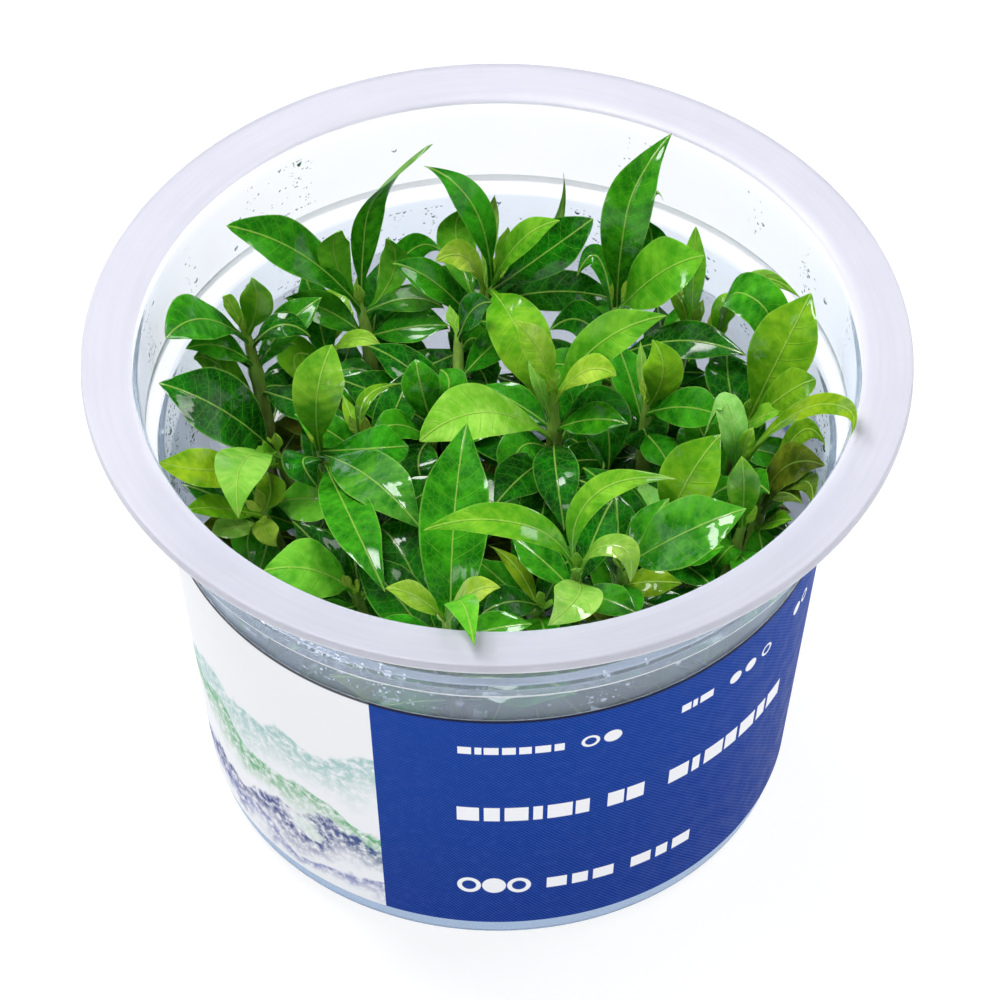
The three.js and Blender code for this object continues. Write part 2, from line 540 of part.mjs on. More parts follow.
// Solid turned about the Z axis from a profile of [radius, height]
function turned(profile) {
  const points = profile.map(([r, z]) => new THREE.Vector2(r, z));
  const lathe = new THREE.LatheGeometry(points, CUP_SEGMENTS).rotateX(Math.PI / 2);
  lathe.deleteAttribute('normal');
  lathe.deleteAttribute('uv');
  const merged = mergeVertices(lathe, SEAM);
  const index = [];
  for (let k = 0; k < merged.index.count; k += 3) {
    const [a, b, c] = [merged.index.getX(k), merged.index.getX(k + 1), merged.index.getX(k + 2)];
    if (a !== b && b !== c && a !== c) index.push(a, b, c);
  }
  return solid(new Float32Array(merged.attributes.position.array), new Uint32Array(index));
}

function stemSolid(shoot) {
  const rings = [];
  for (let k = 0; k <= STEM_STEPS; k++) {
    const s = k / STEM_STEPS;
    const centre = stemPoint(shoot, s);
    const radius = STEM_FOOT_RADIUS + (STEM_TOP_RADIUS - STEM_FOOT_RADIUS) * s;
    const ring = [];
    for (let i = 0; i < STEM_SIDES; i++) {
      const angle = i / STEM_SIDES * 2 * Math.PI;
      ring.push(new THREE.Vector3(Math.cos(angle), Math.sin(angle), 0).multiplyScalar(radius).add(centre));
    }
    rings.push(ring);
  }
  return skin(rings);
}

// Thin blade, thickest on the midrib, both edges raised a little
function leafSolid({ leaf, points }, stations) {
  const rows = frames(points, leaf[2], leaf[3]);
  const rings = stations.map((k) => {
    const { place, up, side } = rows[k];
    const half = halfWidth(leaf, k / FRAME_STEPS);
    const raised = place.clone().addScaledVector(up, BLADE_FOLD * half);
    const edge = (sign) => raised.clone().addScaledVector(side, sign * half);
    const rib = (sign) => place.clone().addScaledVector(up, sign * BLADE_HALF_THICKNESS);
    return [edge(1), rib(1), edge(-1), rib(-1)];
  });
  return skin(rings, rows[FRAME_STEPS].place);
}

function shootSolid(shoot, leaves, lower) {
  let body = stemSolid(shoot);
  for (const row of leaves) {
    const stations = row.leaf[1] < SMALL_BLADE_WIDTH ? SMALL_BLADE_STATIONS : BLADE_STATIONS;
    body = body.add(leafSolid(row, stations));
  }
  for (const row of lower) body = body.add(leafSolid(row, LOWER_BLADE_STATIONS));
  return body;
}

// Cup wall, floor, ledge, neck and flange as one profile, outside first
function cupSolid() {
  const bodyRadius = (z) => BODY_FOOT_RADIUS + BODY_TAPER * z;
  const under = RIM_HEIGHT - FLANGE_THICKNESS;
  return turned([
    [0, 0],
    [bodyRadius(0) - FOOT_CHAMFER_WIDTH, 0],
    [bodyRadius(FOOT_CHAMFER_HEIGHT), FOOT_CHAMFER_HEIGHT],
    [bodyRadius(LEDGE_UNDER_HEIGHT - EDGE_CHAMFER), LEDGE_UNDER_HEIGHT - EDGE_CHAMFER],
    [bodyRadius(LEDGE_UNDER_HEIGHT) + EDGE_CHAMFER, LEDGE_UNDER_HEIGHT],
    [NECK_FOOT_OUTER_RADIUS - EDGE_CHAMFER, LEDGE_UNDER_HEIGHT + LEDGE_FALL],
    [NECK_FOOT_OUTER_RADIUS, LEDGE_UNDER_HEIGHT + LEDGE_FALL + NECK_CHAMFER],
    [NECK_OUTER_RADIUS, under - EDGE_CHAMFER],
    [RIM_RADIUS - LIP_ROUND, under],
    [RIM_RADIUS, under + FLANGE_THICKNESS / 2],
    [RIM_RADIUS - LIP_ROUND, RIM_HEIGHT],
    [FLANGE_INNER_RADIUS, RIM_HEIGHT],
    [NECK_INNER_RADIUS + MOUTH_CHAMFER_WIDTH, RIM_HEIGHT - MOUTH_CHAMFER_TOP],
    [NECK_INNER_RADIUS, RIM_HEIGHT - MOUTH_CHAMFER_FOOT],
    [NECK_FOOT_INNER_RADIUS, LEDGE_TOP_HEIGHT + NECK_CHAMFER],
    [NECK_FOOT_INNER_RADIUS - NECK_CHAMFER, LEDGE_TOP_HEIGHT],
    [bodyRadius(LEDGE_TOP_HEIGHT) - WALL, LEDGE_TOP_HEIGHT - EDGE_CHAMFER],
    [bodyRadius(FLOOR + FLOOR_CHAMFER_HEIGHT) - WALL, FLOOR + FLOOR_CHAMFER_HEIGHT],
    [bodyRadius(0) - WALL - FLOOR_CHAMFER_WIDTH, FLOOR],
    [0, FLOOR],
  ]);
}

function labelSolid() {
  const inner = (z) => BODY_FOOT_RADIUS + BODY_TAPER * z + GAP;
  const loop = [
    [inner(LABEL_BOTTOM), LABEL_BOTTOM],
    [inner(LABEL_BOTTOM) + LABEL_THICKNESS, LABEL_BOTTOM],
    [inner(LABEL_TOP) + LABEL_THICKNESS, LABEL_TOP],
    [inner(LABEL_TOP), LABEL_TOP],
  ];
  return turned([...loop, loop[0]]);
}

function gelSolid() {
  const outer = (z) => BODY_FOOT_RADIUS + BODY_TAPER * z - WALL - GAP;
  const bottom = FLOOR + GAP;
  return turned([
    [0, bottom],
    [outer(bottom) - GEL_CHAMFER_WIDTH, bottom],
    [outer(bottom + GEL_CHAMFER_HEIGHT), bottom + GEL_CHAMFER_HEIGHT],
    [outer(GEL_TOP), GEL_TOP],
    [0, GEL_TOP],
  ]);
}

function node(name, body, { color, roughness }) {
  const { vertProperties, triVerts } = body.getMesh();
  const geometry = new THREE.BufferGeometry();
  geometry.setAttribute('position', new THREE.BufferAttribute(new Float32Array(vertProperties), 3));
  geometry.setIndex(new THREE.BufferAttribute(new Uint32Array(triVerts), 1));
  geometry.computeVertexNormals();
  const material = new THREE.MeshStandardMaterial({ color, roughness, metalness: 0 });
  const mesh = new THREE.Mesh(geometry, material);
  mesh.name = name;
  return mesh;
}

const plant = new THREE.Group();
plant.name = 'hygrophila_in_cup';
plant.add(node('cup', cupSolid(), FINISHES.cup));
plant.add(node('label', labelSolid(), FINISHES.label));
plant.add(node('gel', gelSolid(), FINISHES.gel));
const { leaves, lower } = allLeaves();
SHOOTS.forEach((shoot, i) => {
  plant.add(node(shoot[0], shootSolid(shoot, leaves[i], lower[i]), FINISHES.shoot));
});

export default plant;
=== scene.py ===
"""Hygrophila siamensis grown in a clear tissue-culture cup with its wrap label.

Metres in the finished scene, +Z up, the cup stands on z = 0, the front faces -Y.
The plant is set out in millimetres and scaled once, by MM.
"""
import bpy
import math
import random
import numpy as np
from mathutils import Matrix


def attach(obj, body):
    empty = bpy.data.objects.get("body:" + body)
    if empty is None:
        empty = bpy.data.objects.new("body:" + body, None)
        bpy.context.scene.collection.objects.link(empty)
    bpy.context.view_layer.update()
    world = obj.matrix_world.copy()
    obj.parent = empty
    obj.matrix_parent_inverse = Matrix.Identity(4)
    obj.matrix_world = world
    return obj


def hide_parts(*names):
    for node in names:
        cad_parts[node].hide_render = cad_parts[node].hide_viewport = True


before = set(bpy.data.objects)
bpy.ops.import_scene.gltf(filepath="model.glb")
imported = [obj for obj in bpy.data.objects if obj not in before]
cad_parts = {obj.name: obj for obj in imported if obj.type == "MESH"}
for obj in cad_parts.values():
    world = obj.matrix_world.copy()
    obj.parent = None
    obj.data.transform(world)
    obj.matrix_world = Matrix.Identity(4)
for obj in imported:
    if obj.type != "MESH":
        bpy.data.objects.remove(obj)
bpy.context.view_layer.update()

MM = 0.001

# Cup, label and gel sizes, as in the solids
RIM_RADIUS = 50.0
RIM_HEIGHT = 65.0
FLANGE_THICKNESS = 1.5
FLANGE_INNER_RADIUS = 45.2
NECK_OUTER_RADIUS = 43.9
NECK_INNER_RADIUS = 43.2
NECK_FOOT_OUTER_RADIUS = 43.3
NECK_FOOT_INNER_RADIUS = 42.35
LEDGE_TOP_HEIGHT = 52.9
BODY_FOOT_RADIUS = 34.4
BODY_TAPER = 0.124
WALL = 0.8
FLOOR = 1.2
LABEL_BOTTOM = 3.3
LABEL_TOP = 44.7
GEL_TOP = 22.0
GAP = 0.3

# Stems and leaves, as in the solids
STEM_FOOT_RADIUS = 1.25
STEM_TOP_RADIUS = 0.85
STEM_RISE = 12.0
PETIOLE_HALF_WIDTH = 0.5
PETIOLE_SHARE = 0.1
BLADE_FOLD = 0.16
FORMS = [[0.95, 0.8], [1.25, 0.62], [0.8, 1.1]]
FRAME_STEPS = 12


def unit(v):
    return v / np.linalg.norm(v)


# Line of sight along which the leaves are set out
SIGHT_PITCH = math.radians(46.8)
SIGHT_DISTANCE = 2500.0
SIGHT_AIM = 40.5
SIGHT_Y = -SIGHT_DISTANCE * math.cos(SIGHT_PITCH)
SIGHT_Z = SIGHT_AIM + SIGHT_DISTANCE * math.sin(SIGHT_PITCH)
FACE = unit(np.array([0.0, -math.cos(SIGHT_PITCH), math.sin(SIGHT_PITCH) + 1.0]))

# Room kept between leaves of different shoots, their stems and the cup
ROOM_GAP = 1.0
ROOM_SIDE = 1.5
ROOM_STEM = 2.1
ROOM_WALL = 0.9
ROOM_MARGIN = 2.0
ROOM_ABOVE_RIM = 65.9
ROOM_RIM_LIMIT = 50.4
ROOM_BEAD_LIMIT = 43.0
ROOM_NECK_FOOT = 53.6
ROOM_STEM_STEPS = 16
WALL_WEIGHT = 4
SHIFT_STEPS = 10
ACROSS = [-1.0, -0.5, 0.0, 0.5, 1.0]

# Camera, read from the photograph
LENS = 744.75
AIM_X = 0.34

# Each shoot: name, foot [x, y] on the gel, top [x, y, z], then its leaves.
# Each leaf: place on the stem 0 to 1, blade width, outline (or outline, turn and twist in degrees),
# tone, then the points its midrib passes. A point [x, y, z] lies at height z on the line of sight
# that meets the rim plane at x, y.
SHOOTS = [
    ["shoot_back_left", [-14, 20], [-16.4, 9.6, 47],
     [0.96, 6.4, 1, "mid", [-23.6, 17.6, 56], [-32.7, 22.4, 62]],
     [0.94, 4.2, 1, "bright", [-19.6, 17, 54], [-18.7, 21.6, 59]],
     [0.98, 5, (0, 5, 125), "mid", [-16.2, 18, 53], [-15.4, 25.6, 58], [-12, 31.4, 61], [-7.8, 36.2, 64]],
     [0.93, 3.8, 1, "bright", [-12.4, 15, 51], [-13.4, 20.3, 56]],
     [0.88, 3.8, 0, "mid", [-11, 17.4, 50], [-6.8, 18.2, 53]],
     [0.95, 3.4, (0, 20, 0), "wet", [-10.6, 10.3, 48], [-6.4, 8.6, 47]],
     [0.82, 4.6, 0, "deep", [-10.5, 6.2, 44], [-5.8, 5.2, 43]]],
    ["shoot_back_middle", [-9, 19], [-0.2, 13.6, 50],
     [0.97, 4.2, 2, "mid", [-1.8, 22.2, 59], [-4.6, 28.8, 64], [-8.9, 32.5, 66]],
     [0.88, 4.8, 0, "bright", [-4.9, 19.6, 50], [-4, 25.3, 55]],
     [0.93, 4, (1, 10, 0), "young", [-3.6, 16.9, 54], [-7.4, 16.5, 55]],
     [0.8, 3.6, 0, "mid", [-5.4, 12.6, 45], [-9, 13.4, 46]],
     [0.95, 6.2, (1, 10, 0), "deep", [5.8, 17.8, 56], [11.6, 23.6, 61]],
     [0.98, 3.8, 0, "bright", [3, 20, 60], [7.6, 23.3, 64]],
     [0.99, 2.2, 0, "young", [0.9, 18.4, 56], [1.3, 22.2, 60]],
     [0.9, 2, 2, "pale", [-0.8, 22, 53], [-0.3, 27.6, 58]],
     [0.9, 5.2, (0, 12, 0), "deep", [7, 11.4, 48], [15, 9.6, 45]],
     [0.96, 7.2, 0, "bright", [2.4, 5, 50], [5.6, -7.5, 42]],
     [0.7, 1.8, 2, "pale", [5.5, 17, 47], [8, 31.3, 59]]],
    ["shoot_back_tall", [12, 18], [14.6, 9.8, 48],
     [0.97, 6, 0, "mid", [15, 19, 58], [16.6, 28.5, 65], [21.2, 38, 70]],
     [0.9, 5.2, 0, "mid", [18.3, 17, 50], [17.8, 23.4, 55]],
     [0.95, 8.2, 0, "bright", [19.6, 14.4, 57], [25, 17.4, 59]],
     [0.85, 1.4, 2, "pale", [17.5, 24.5, 52], [20.1, 26.6, 56]],
     [0.9, 3, 0, "mid", [12.3, 16.8, 51], [9.6, 14, 49]]],
    ["shoot_back_right", [18, 15], [23.7, 6.2, 49],
     [0.97, 3, 1, "bright", [23.6, 13.5, 53], [24, 22.3, 58]],
     [0.93, 2.4, 0, "olive", [22.4, 9, 50], [20.2, 12.6, 50]],
     [0.8, 2.2, 0, "pale", [22.8, 5.9, 46], [21, 5.8, 45]]],
    ["shoot_right_arching", [25, 9], [26.4, 4.2, 50],
     [0.97, 6, 0, "mid", [28.5, 11, 58], [32.6, 7.5, 58], [31.6, -1.5, 48]],
     [0.92, 2.6, 0, "young", [30.5, 12.6, 55], [36.4, 10.4, 57]],
     [0.95, 3.2, 0, "bright", [27.4, 8.6, 54], [29.8, 8.4, 53]]],
    ["shoot_right", [25, 4], [30.2, -9.5, 47],
     [0.97, 8, 0, "olive", [34.2, 1.5, 56], [37.8, 11.2, 60]],
     [0.94, 5.2, 1, "olive", [34.6, -5.6, 54], [38.2, -3.2, 56]],
     [0.9, 5.6, 1, "deep", [27.8, -4, 48], [27.6, 1.2, 48]],
     [0.96, 3.4, 0, "bright", [31.8, -9.3, 52], [33.9, -8.4, 53]]],
    ["shoot_right_front", [24, -2], [29, -17.6, 46],
     [0.98, 3, 2, "olive", [33.2, -11.2, 57], [38.5, -7.4, 64], [42.4, -8.6, 67], [42, -13, 66.4]],
     [0.94, 4.4, (0, 0, 60), "pale", [28.3, -13, 52], [27.2, -7.2, 55], [24.8, -12.4, 52]],
     [0.96, 2, 0, "young", [29.8, -13.8, 50], [30.6, -11, 51]]],
    ["shoot_right_old", [29, -8], [32, -22, 44],
     [0.96, 3, 0, "olive", [36, -12.2, 54], [39.2, -14, 56]],
     [0.92, 5.4, 0, "old", [34.5, -17.6, 50], [39.2, -17.4, 54]],
     [0.88, 3.2, 0, "old", [36.4, -20, 50], [37.6, -24.2, 54]],
     [0.8, 3, 0, "olive", [32.8, -26.6, 46], [35.2, -26.2, 49]],
     [0.94, 3.2, 0, "old", [34, -21.8, 48], [36.4, -23.6, 50]]],
    ["shoot_dark", [13, 12], [14.5, 2, 46],
     [0.96, 5.2, 0, "deep", [22, 3.2, 50], [29.9, 0.8, 50]],
     [0.9, 5, 0, "deep", [10.6, 6.2, 45], [6.3, 5, 43]]],
    ["shoot_centre", [7, 3], [6.8, -5.2, 52],
     [0.97, 5.6, 0, "bright", [12.6, 3, 59], [20.4, 7.4, 63]],
     [0.96, 3.8, 1, "young", [10.6, -1.8, 57], [14.3, -2.6, 58]],
     [0.99, 4, 0, "young", [4.9, 1.8, 60], [2, 6.6, 64]],
     [0.8, 7.4, 1, "young", [-1.5, -8.6, 57], [-9.3, -13.4, 55]],
     [0.86, 1.7, 2, "pale", [5, -4, 53], [3.6, 1.2, 55]],
     [0.84, 7.2, 0, "deep", [12.2, -9, 50], [13.2, -18.4, 43]],
     [0.78, 5.6, 0, "deep", [7, -18, 48], [8, -28, 44]],
     [0.74, 5, 0, "mid", [2.8, -14.5, 46], [1.6, -22.5, 42]]],
    ["shoot_centre_right", [17, 5], [18, -6.6, 47],
     [0.96, 5, 0, "olive", [19.9, -2, 50], [18.6, 3.4, 51]],
     [0.92, 1.4, 2, "pale", [17.4, -1.5, 49], [17.2, 3.2, 50]],
     [0.93, 5.6, 1, "mid", [22.4, -7.8, 51], [27.2, -9.6, 50]],
     [0.8, 6, 0, "deep", [17.6, -11.6, 44], [18.6, -16.5, 41]]],
    ["shoot_centre_left", [-4.5, 5], [-4.7, 5.4, 48],
     [0.96, 4, 0, "deep", [-3, 8.2, 50], [-0.6, 9.6, 50]],
     [0.92, 3.6, 0, "mid", [-2.8, 3.6, 47], [-1, 0.4, 45]],
     [0.8, 5.2, 0, "deep", [-2.4, -1.4, 44], [-0.8, -6.4, 42]]],
    ["shoot_middle", [-9, 9], [-7.6, -10.2, 45],
     [0.96, 4.8, 1, "mid", [-9, -5.2, 50], [-9.8, 0.2, 53]],
     [0.95, 4.6, 0, "mid", [-5.8, -4.6, 49], [-6.9, -1.6, 49]],
     [0.85, 4.6, 0, "deep", [-9.4, -16.4, 45], [-8.6, -21.5, 42]]],
    ["shoot_left", [-18, 0], [-21.3, -14.2, 47],
     [0.97, 6.2, 1, "bright", [-21.6, -6, 56], [-19.8, 2.6, 59]],
     [0.92, 5.2, 0, "deep", [-23.2, -16.6, 49], [-21.4, -21, 46]],
     [0.95, 7.2, 0, "wet", [-15, -19.6, 54], [-9, -27.8, 53]],
     [0.9, 6, 0, "mid", [-17.8, -25, 54], [-13.3, -38, 52]],
     [0.97, 5.8, 1, "mid", [-15, -14.6, 52], [-10.6, -14.2, 51]]],
    ["shoot_left_edge", [-23, 3], [-26.6, -14.8, 46],
     [0.97, 9, 0, "deep", [-33, -8.2, 56], [-40.6, -3.8, 60]],
     [0.94, 6.4, 0, "pale", [-30.4, -16.8, 55], [-30.8, -26, 52]],
     [0.9, 5.8, 1, "olive", [-33.6, -18.2, 54], [-40.4, -16.8, 57]],
     [0.98, 3.4, 0, "bright", [-27.8, -15.4, 51], [-29.4, -14.2, 53]]],
    ["shoot_left_front", [-24, -6], [-28.2, -24.8, 44],
     [0.95, 3.6, 0, "olive", [-33, -24.4, 51], [-37.3, -24.8, 55]],
     [0.88, 3.2, 0, "pale", [-31.6, -27.6, 47], [-34, -28.6, 48]],
     [0.92, 4.2, 0, "mid", [-29.6, -29, 44], [-29, -34, 42]],
     [0.96, 3.2, 0, "young", [-27.6, -28, 46], [-26.2, -30.6, 45]],
     [0.97, 3.6, 0, "olive", [-27, -21.6, 47], [-27.6, -18.4, 49]]],
    ["shoot_left_back", [-27, 15], [-30.2, 5, 51],
     [0.95, 6.6, 1, "mid", [-35.4, 6.8, 56], [-39.8, 3.6, 57]],
     [0.55, 4.8, 0, "bright", [-33.2, -1.2, 47], [-36.4, 0.2, 51]],
     [0.82, 2.8, 0, "deep", [-33.8, 2.2, 51], [-37.2, 2.2, 54]],
     [0.98, 4.2, 0, "bright", [-28.9, 9.5, 57], [-29.6, 13.8, 61]],
     [0.96, 2, 0, "young", [-32, 9, 56], [-33, 10.4, 58]],
     [0.92, 3.4, 0, "deep", [-26, 5.8, 52], [-22.4, 3.8, 50]],
     [0.8, 2.6, 0, "mid", [-27, 2.2, 48], [-24.2, 2.6, 47]]],
    ["shoot_left_inner", [-14, 4], [-16.2, -12.3, 46],
     [0.96, 1.8, 2, "olive", [-16.3, -8.2, 49], [-14.6, -5, 50], [-10.6, -3.8, 49]],
     [0.92, 1.8, 2, "olive", [-17.4, -9.4, 46], [-18.6, -5.4, 46]],
     [0.6, 5, 0, "deep", [-13.5, -9, 40], [-12.5, -5, 40]]],
    ["shoot_left_behind", [-19, 14], [-20.4, 2.2, 42],
     [0.95, 5.6, 1, "young", [-20.2, 6.8, 46], [-18.2, 11.6, 50]],
     [0.96, 2.4, 2, "young", [-16.8, 3.6, 46], [-13.4, 1.6, 45]],
     [0.9, 4.8, 0, "olive", [-24, 1, 42], [-23.6, -4, 40]],
     [0.85, 2.8, 0, "wet", [-17.4, -1.5, 42], [-14.2, -2.6, 41]],
     [0.7, 4.4, 0, "deep", [-25.4, -4.4, 38], [-28.4, -5.2, 38]]],
    ["shoot_left_low", [-15, -7], [-17.2, -23.6, 45],
     [0.96, 6.8, 0, "bright", [-21.8, -22.8, 48], [-26.4, -23.6, 49]],
     [0.85, 4.6, 0, "deep", [-17.2, -29, 44], [-16.6, -36, 42]]],
    ["shoot_front_left", [-15, -17], [-17, -37.6, 46],
     [0.96, 7.4, 0, "bright", [-22, -34.4, 51], [-27.8, -34.6, 51]],
     [0.9, 3.6, 0, "olive", [-14, -37.4, 47], [-12, -40.2, 46]]],
    ["shoot_front", [-5, -27], [-6.1, -42.2, 58],
     [0.98, 3.4, 0, "young", [-9.6, -38.8, 63], [-13.3, -37.4, 65]],
     [0.97, 3.4, 0, "young", [-3.1, -38.2, 63], [0.4, -37.3, 65]],
     [0.99, 3.8, 0, "bright", [-4.3, -39.6, 66], [-2.7, -46.7, 67.4]],
     [0.7, 8.4, 0, "mid", [-5.2, -27.5, 56], [-3.6, -10.4, 61]],
     [0.6, 7.6, 0, "deep", [-10.4, -34, 49], [-14.4, -27.6, 49]]],
    ["shoot_front_right", [9, -18], [9.4, -34.2, 57],
     [0.97, 4.4, 0, "bright", [5.6, -28.4, 63], [-1.6, -26.2, 65], [-8.8, -28, 64]],
     [0.98, 3.6, 0, "bright", [9.6, -26, 63], [13.8, -20.4, 67], [21.4, -19.6, 66]],
     [0.95, 3.2, 1, "pale", [12, -30.9, 62], [15.3, -31.2, 63], [15.8, -36.4, 60]],
     [0.92, 6, 0, "pale", [9.6, -38.6, 58], [6, -43.4, 55]]],
    ["shoot_front_low", [3, -18], [5.4, -40, 49],
     [0.96, 4.6, 0, "deep", [1.6, -39.6, 53], [-1.8, -41.6, 52]],
     [0.9, 2.2, 2, "olive", [2.6, -34.6, 49], [-1, -30.4, 49]]],
    ["shoot_glossy", [15, -14], [14.8, -33.4, 51],
     [0.96, 8.6, 0, "wet", [22, -28.6, 59], [29.7, -24.4, 62]],
     [0.8, 4, 0, "olive", [18, -36.4, 47], [22, -36.6, 47]],
     [0.7, 3.4, 0, "mid", [13, -27.5, 42], [14.2, -23, 42]]],
    ["shoot_right_low", [19, -7], [20.4, -27.6, 46],
     [0.97, 7.2, 0, "olive", [22.8, -19.6, 53], [26.8, -12.2, 56]],
     [0.85, 3.6, 0, "pale", [18.6, -24.5, 44], [17, -19.5, 43]],
     [0.8, 4.6, 0, "mid", [24, -31.4, 46], [27, -30.6, 48]]],
    ["shoot_right_edge", [26, -13], [29.4, -26.4, 47],
     [0.96, 4, 0, "bright", [29.4, -21, 53], [29.2, -15.8, 56]],
     [0.85, 3.4, 0, "mid", [27.5, -31, 47], [25.4, -34.6, 46]]],
]


def leaf_row(place, width, outline, tone, *points):
    """A leaf of the table with its turn and twist, which are 0 where the table gives none."""
    outline, turn, twist = outline if isinstance(outline, tuple) else (outline, 0, 0)
    return [place, width, turn, twist, outline, tone, *points]


for shoot in SHOOTS:
    shoot[3:] = [[leaf_row(*leaf) for leaf in shoot[3:]]]

# Pairs of older leaves lower down each stem, wherever they find room, as in the solids.
# Each level: place on the stem, length, width, rise of the tip, tone
LOWER_NODES = [[0.62, 16.0, 6.6, 4.0, "deep"], [0.30, 15.0, 6.4, 5.0, "old"]]
LOWER_ARCH = 0.72
LOWER_START = 40.0
LOWER_SPIRAL = 137.5
LOWER_TURNS = [0, 20, -20, 40, -40]
LOWER_LIFTS = [0, 3, -3, 6]
LOWER_FREE_FROM = 3
CLEARINGS = [[-31.5, 5.5, -25.5, 10.5], [0.5, -14.5, 10.5, -9.5]]
CLEARING_MARGIN = 0.4
LOWER_ROOM = (1.0, 1.5, 0)

# Small inner leaves that fill the shoots between the solids' leaves
INNER_NODES = [[0.84, 10.0, 4.4, 3.0, "mid"], [0.72, 12.0, 4.8, 2.0, "deep"], [0.48, 12.0, 5.2, 3.0, "deep"],
               [0.40, 11.0, 5.0, 5.0, "mid"], [0.22, 11.0, 5.4, 3.5, "old"], [0.12, 9.0, 5.0, 4.5, "old"]]
INNER_START = 85.0
INNER_ROOM = (0.45, 1.1, 3)

# Spots that look thin from above: each gets a leaf from the nearest stem that has room
THIN_SPOTS = [[5, -6], [9, -5.5], [1, -6], [12.5, -12], [12, -8], [-1, -12], [5, -16.5], [10, -16.5],
              [-12, 6], [-8, -2]]
THIN_LEVELS = [0.72, 0.60, 0.84, 0.48, 0.36]
THIN_STEMS = 6
THIN_NEAREST, THIN_FARTHEST = 4.0, 18.0
THIN_BEYOND = 3.0
THIN_RISE = 3.0

# Leaf tones: light and dark green of a blade, and how wet it is
TONES = {
    "deep": ((0.008, 0.190, 0.003), (0.001, 0.055, 0.002), 0.75),
    "mid": ((0.044, 0.345, 0.007), (0.006, 0.140, 0.002), 0.66),
    "bright": ((0.200, 0.520, 0.028), (0.058, 0.310, 0.007), 0.60),
    "young": ((0.400, 0.660, 0.075), (0.190, 0.470, 0.018), 0.58),
    "wet": ((0.070, 0.360, 0.022), (0.008, 0.160, 0.006), 1.00),
    "pale": ((0.320, 0.580, 0.110), (0.150, 0.410, 0.040), 0.70),
    "olive": ((0.220, 0.440, 0.012), (0.075, 0.260, 0.004), 0.60),
    "old": ((0.140, 0.200, 0.014), (0.032, 0.070, 0.004), 0.80),
}
STEM_FOOT_COLOUR = (0.100, 0.085, 0.030)
STEM_TOP_COLOUR = (0.165, 0.320, 0.042)


# ---- set-out of the plant, the same as in the solids

def seen(x, y, z):
    t = (SIGHT_Z - z) / (SIGHT_Z - RIM_HEIGHT)
    return np.array([x * t, SIGHT_Y + (y - SIGHT_Y) * t, z])


def stem_point(shoot, s):
    foot = np.array([shoot[1][0], shoot[1][1], GEL_TOP + GAP])
    knee = foot + np.array([0.0, 0.0, STEM_RISE])
    return foot * (1 - s) ** 2 + knee * 2 * s * (1 - s) + seen(*shoot[2]) * s * s


def midrib(shoot, leaf, shift):
    via = leaf[6:]
    lifted = [seen(x, y, z + shift * (i + 1) / len(via)) for i, (x, y, z) in enumerate(via)]
    return [stem_point(shoot, leaf[0])] + lifted


def course(points, shares):
    """Places and directions at shares from 0 to 1 of the smooth curve through the points."""
    points = np.array(points)
    n = len(points) - 1
    slopes = np.empty_like(points)
    slopes[1:n] = (points[2:] - points[:-2]) / 2
    slopes[0] = 2 * (points[1] - points[0]) - (points[2] - points[0]) / 2
    slopes[n] = 2 * (points[n] - points[n - 1]) - (points[n] - points[n - 2]) / 2
    i = np.minimum((shares * n).astype(int), n - 1)
    f = (shares * n - i)[:, None]
    ff, fff = f * f, f * f * f
    a, b, p, q = slopes[i], slopes[i + 1], points[i], points[i + 1]
    places = p * (2 * fff - 3 * ff + 1) + a * (fff - 2 * ff + f) + q * (3 * ff - 2 * fff) + b * (fff - ff)
    ways = p * (6 * ff - 6 * f) + a * (3 * ff - 4 * f + 1) + q * (6 * f - 6 * ff) + b * (3 * ff - 2 * f)
    return places, ways / np.linalg.norm(ways, axis=1)[:, None]


def frames(points, turn, twist, steps=FRAME_STEPS):
    """Place, direction, upper-face direction and side direction at even steps."""
    places, ways = course(points, np.arange(steps + 1) / steps)
    faces = np.empty_like(ways)
    middle = steps // 2

    def square(v, way):
        v = v - way * v.dot(way)
        return v / math.sqrt(v.dot(v))

    faces[middle] = square(FACE, ways[middle])
    for i in range(middle + 1, steps + 1):
        faces[i] = square(faces[i - 1], ways[i])
    for i in range(middle - 1, -1, -1):
        faces[i] = square(faces[i + 1], ways[i])
    angles = np.radians(turn + twist * np.arange(steps + 1) / steps)[:, None]
    ups = faces * np.cos(angles) + np.cross(ways, faces) * np.sin(angles)
    return list(zip(places, ways, ups, np.cross(ways, ups)))


def half_width(leaf, t):
    skew, fullness = FORMS[leaf[4]]
    u = (t - PETIOLE_SHARE) / (1 - PETIOLE_SHARE)
    blade = 0.0 if u <= 0 or u >= 1 else math.sin(math.pi * u ** skew) ** fullness
    return max(PETIOLE_HALF_WIDTH * (1 - t), leaf[1] / 2 * blade)


def patch(points, leaf):
    rows = frames(points, leaf[2], leaf[3])
    spots, ups = [], []
    for i in range(2, FRAME_STEPS + 1):
        place, way, up, side = rows[i]
        half = half_width(leaf, i / FRAME_STEPS)
        for a in ACROSS:
            spots.append(place + side * (half * a))
            ups.append(up)
    spots = np.array(spots)
    return spots, np.array(ups), spots.min(0) - ROOM_MARGIN, spots.max(0) + ROOM_MARGIN


def body_radius(z):
    return BODY_FOOT_RADIUS + BODY_TAPER * z


def free_radius(z):
    if z > ROOM_ABOVE_RIM:
        return ROOM_RIM_LIMIT
    if z > RIM_HEIGHT:
        return ROOM_BEAD_LIMIT
    if z > ROOM_NECK_FOOT:
        taper = (NECK_INNER_RADIUS - NECK_FOOT_INNER_RADIUS) / 10
        return NECK_FOOT_INNER_RADIUS + taper * (z - LEDGE_TOP_HEIGHT - 0.5)
    return body_radius(z) - WALL


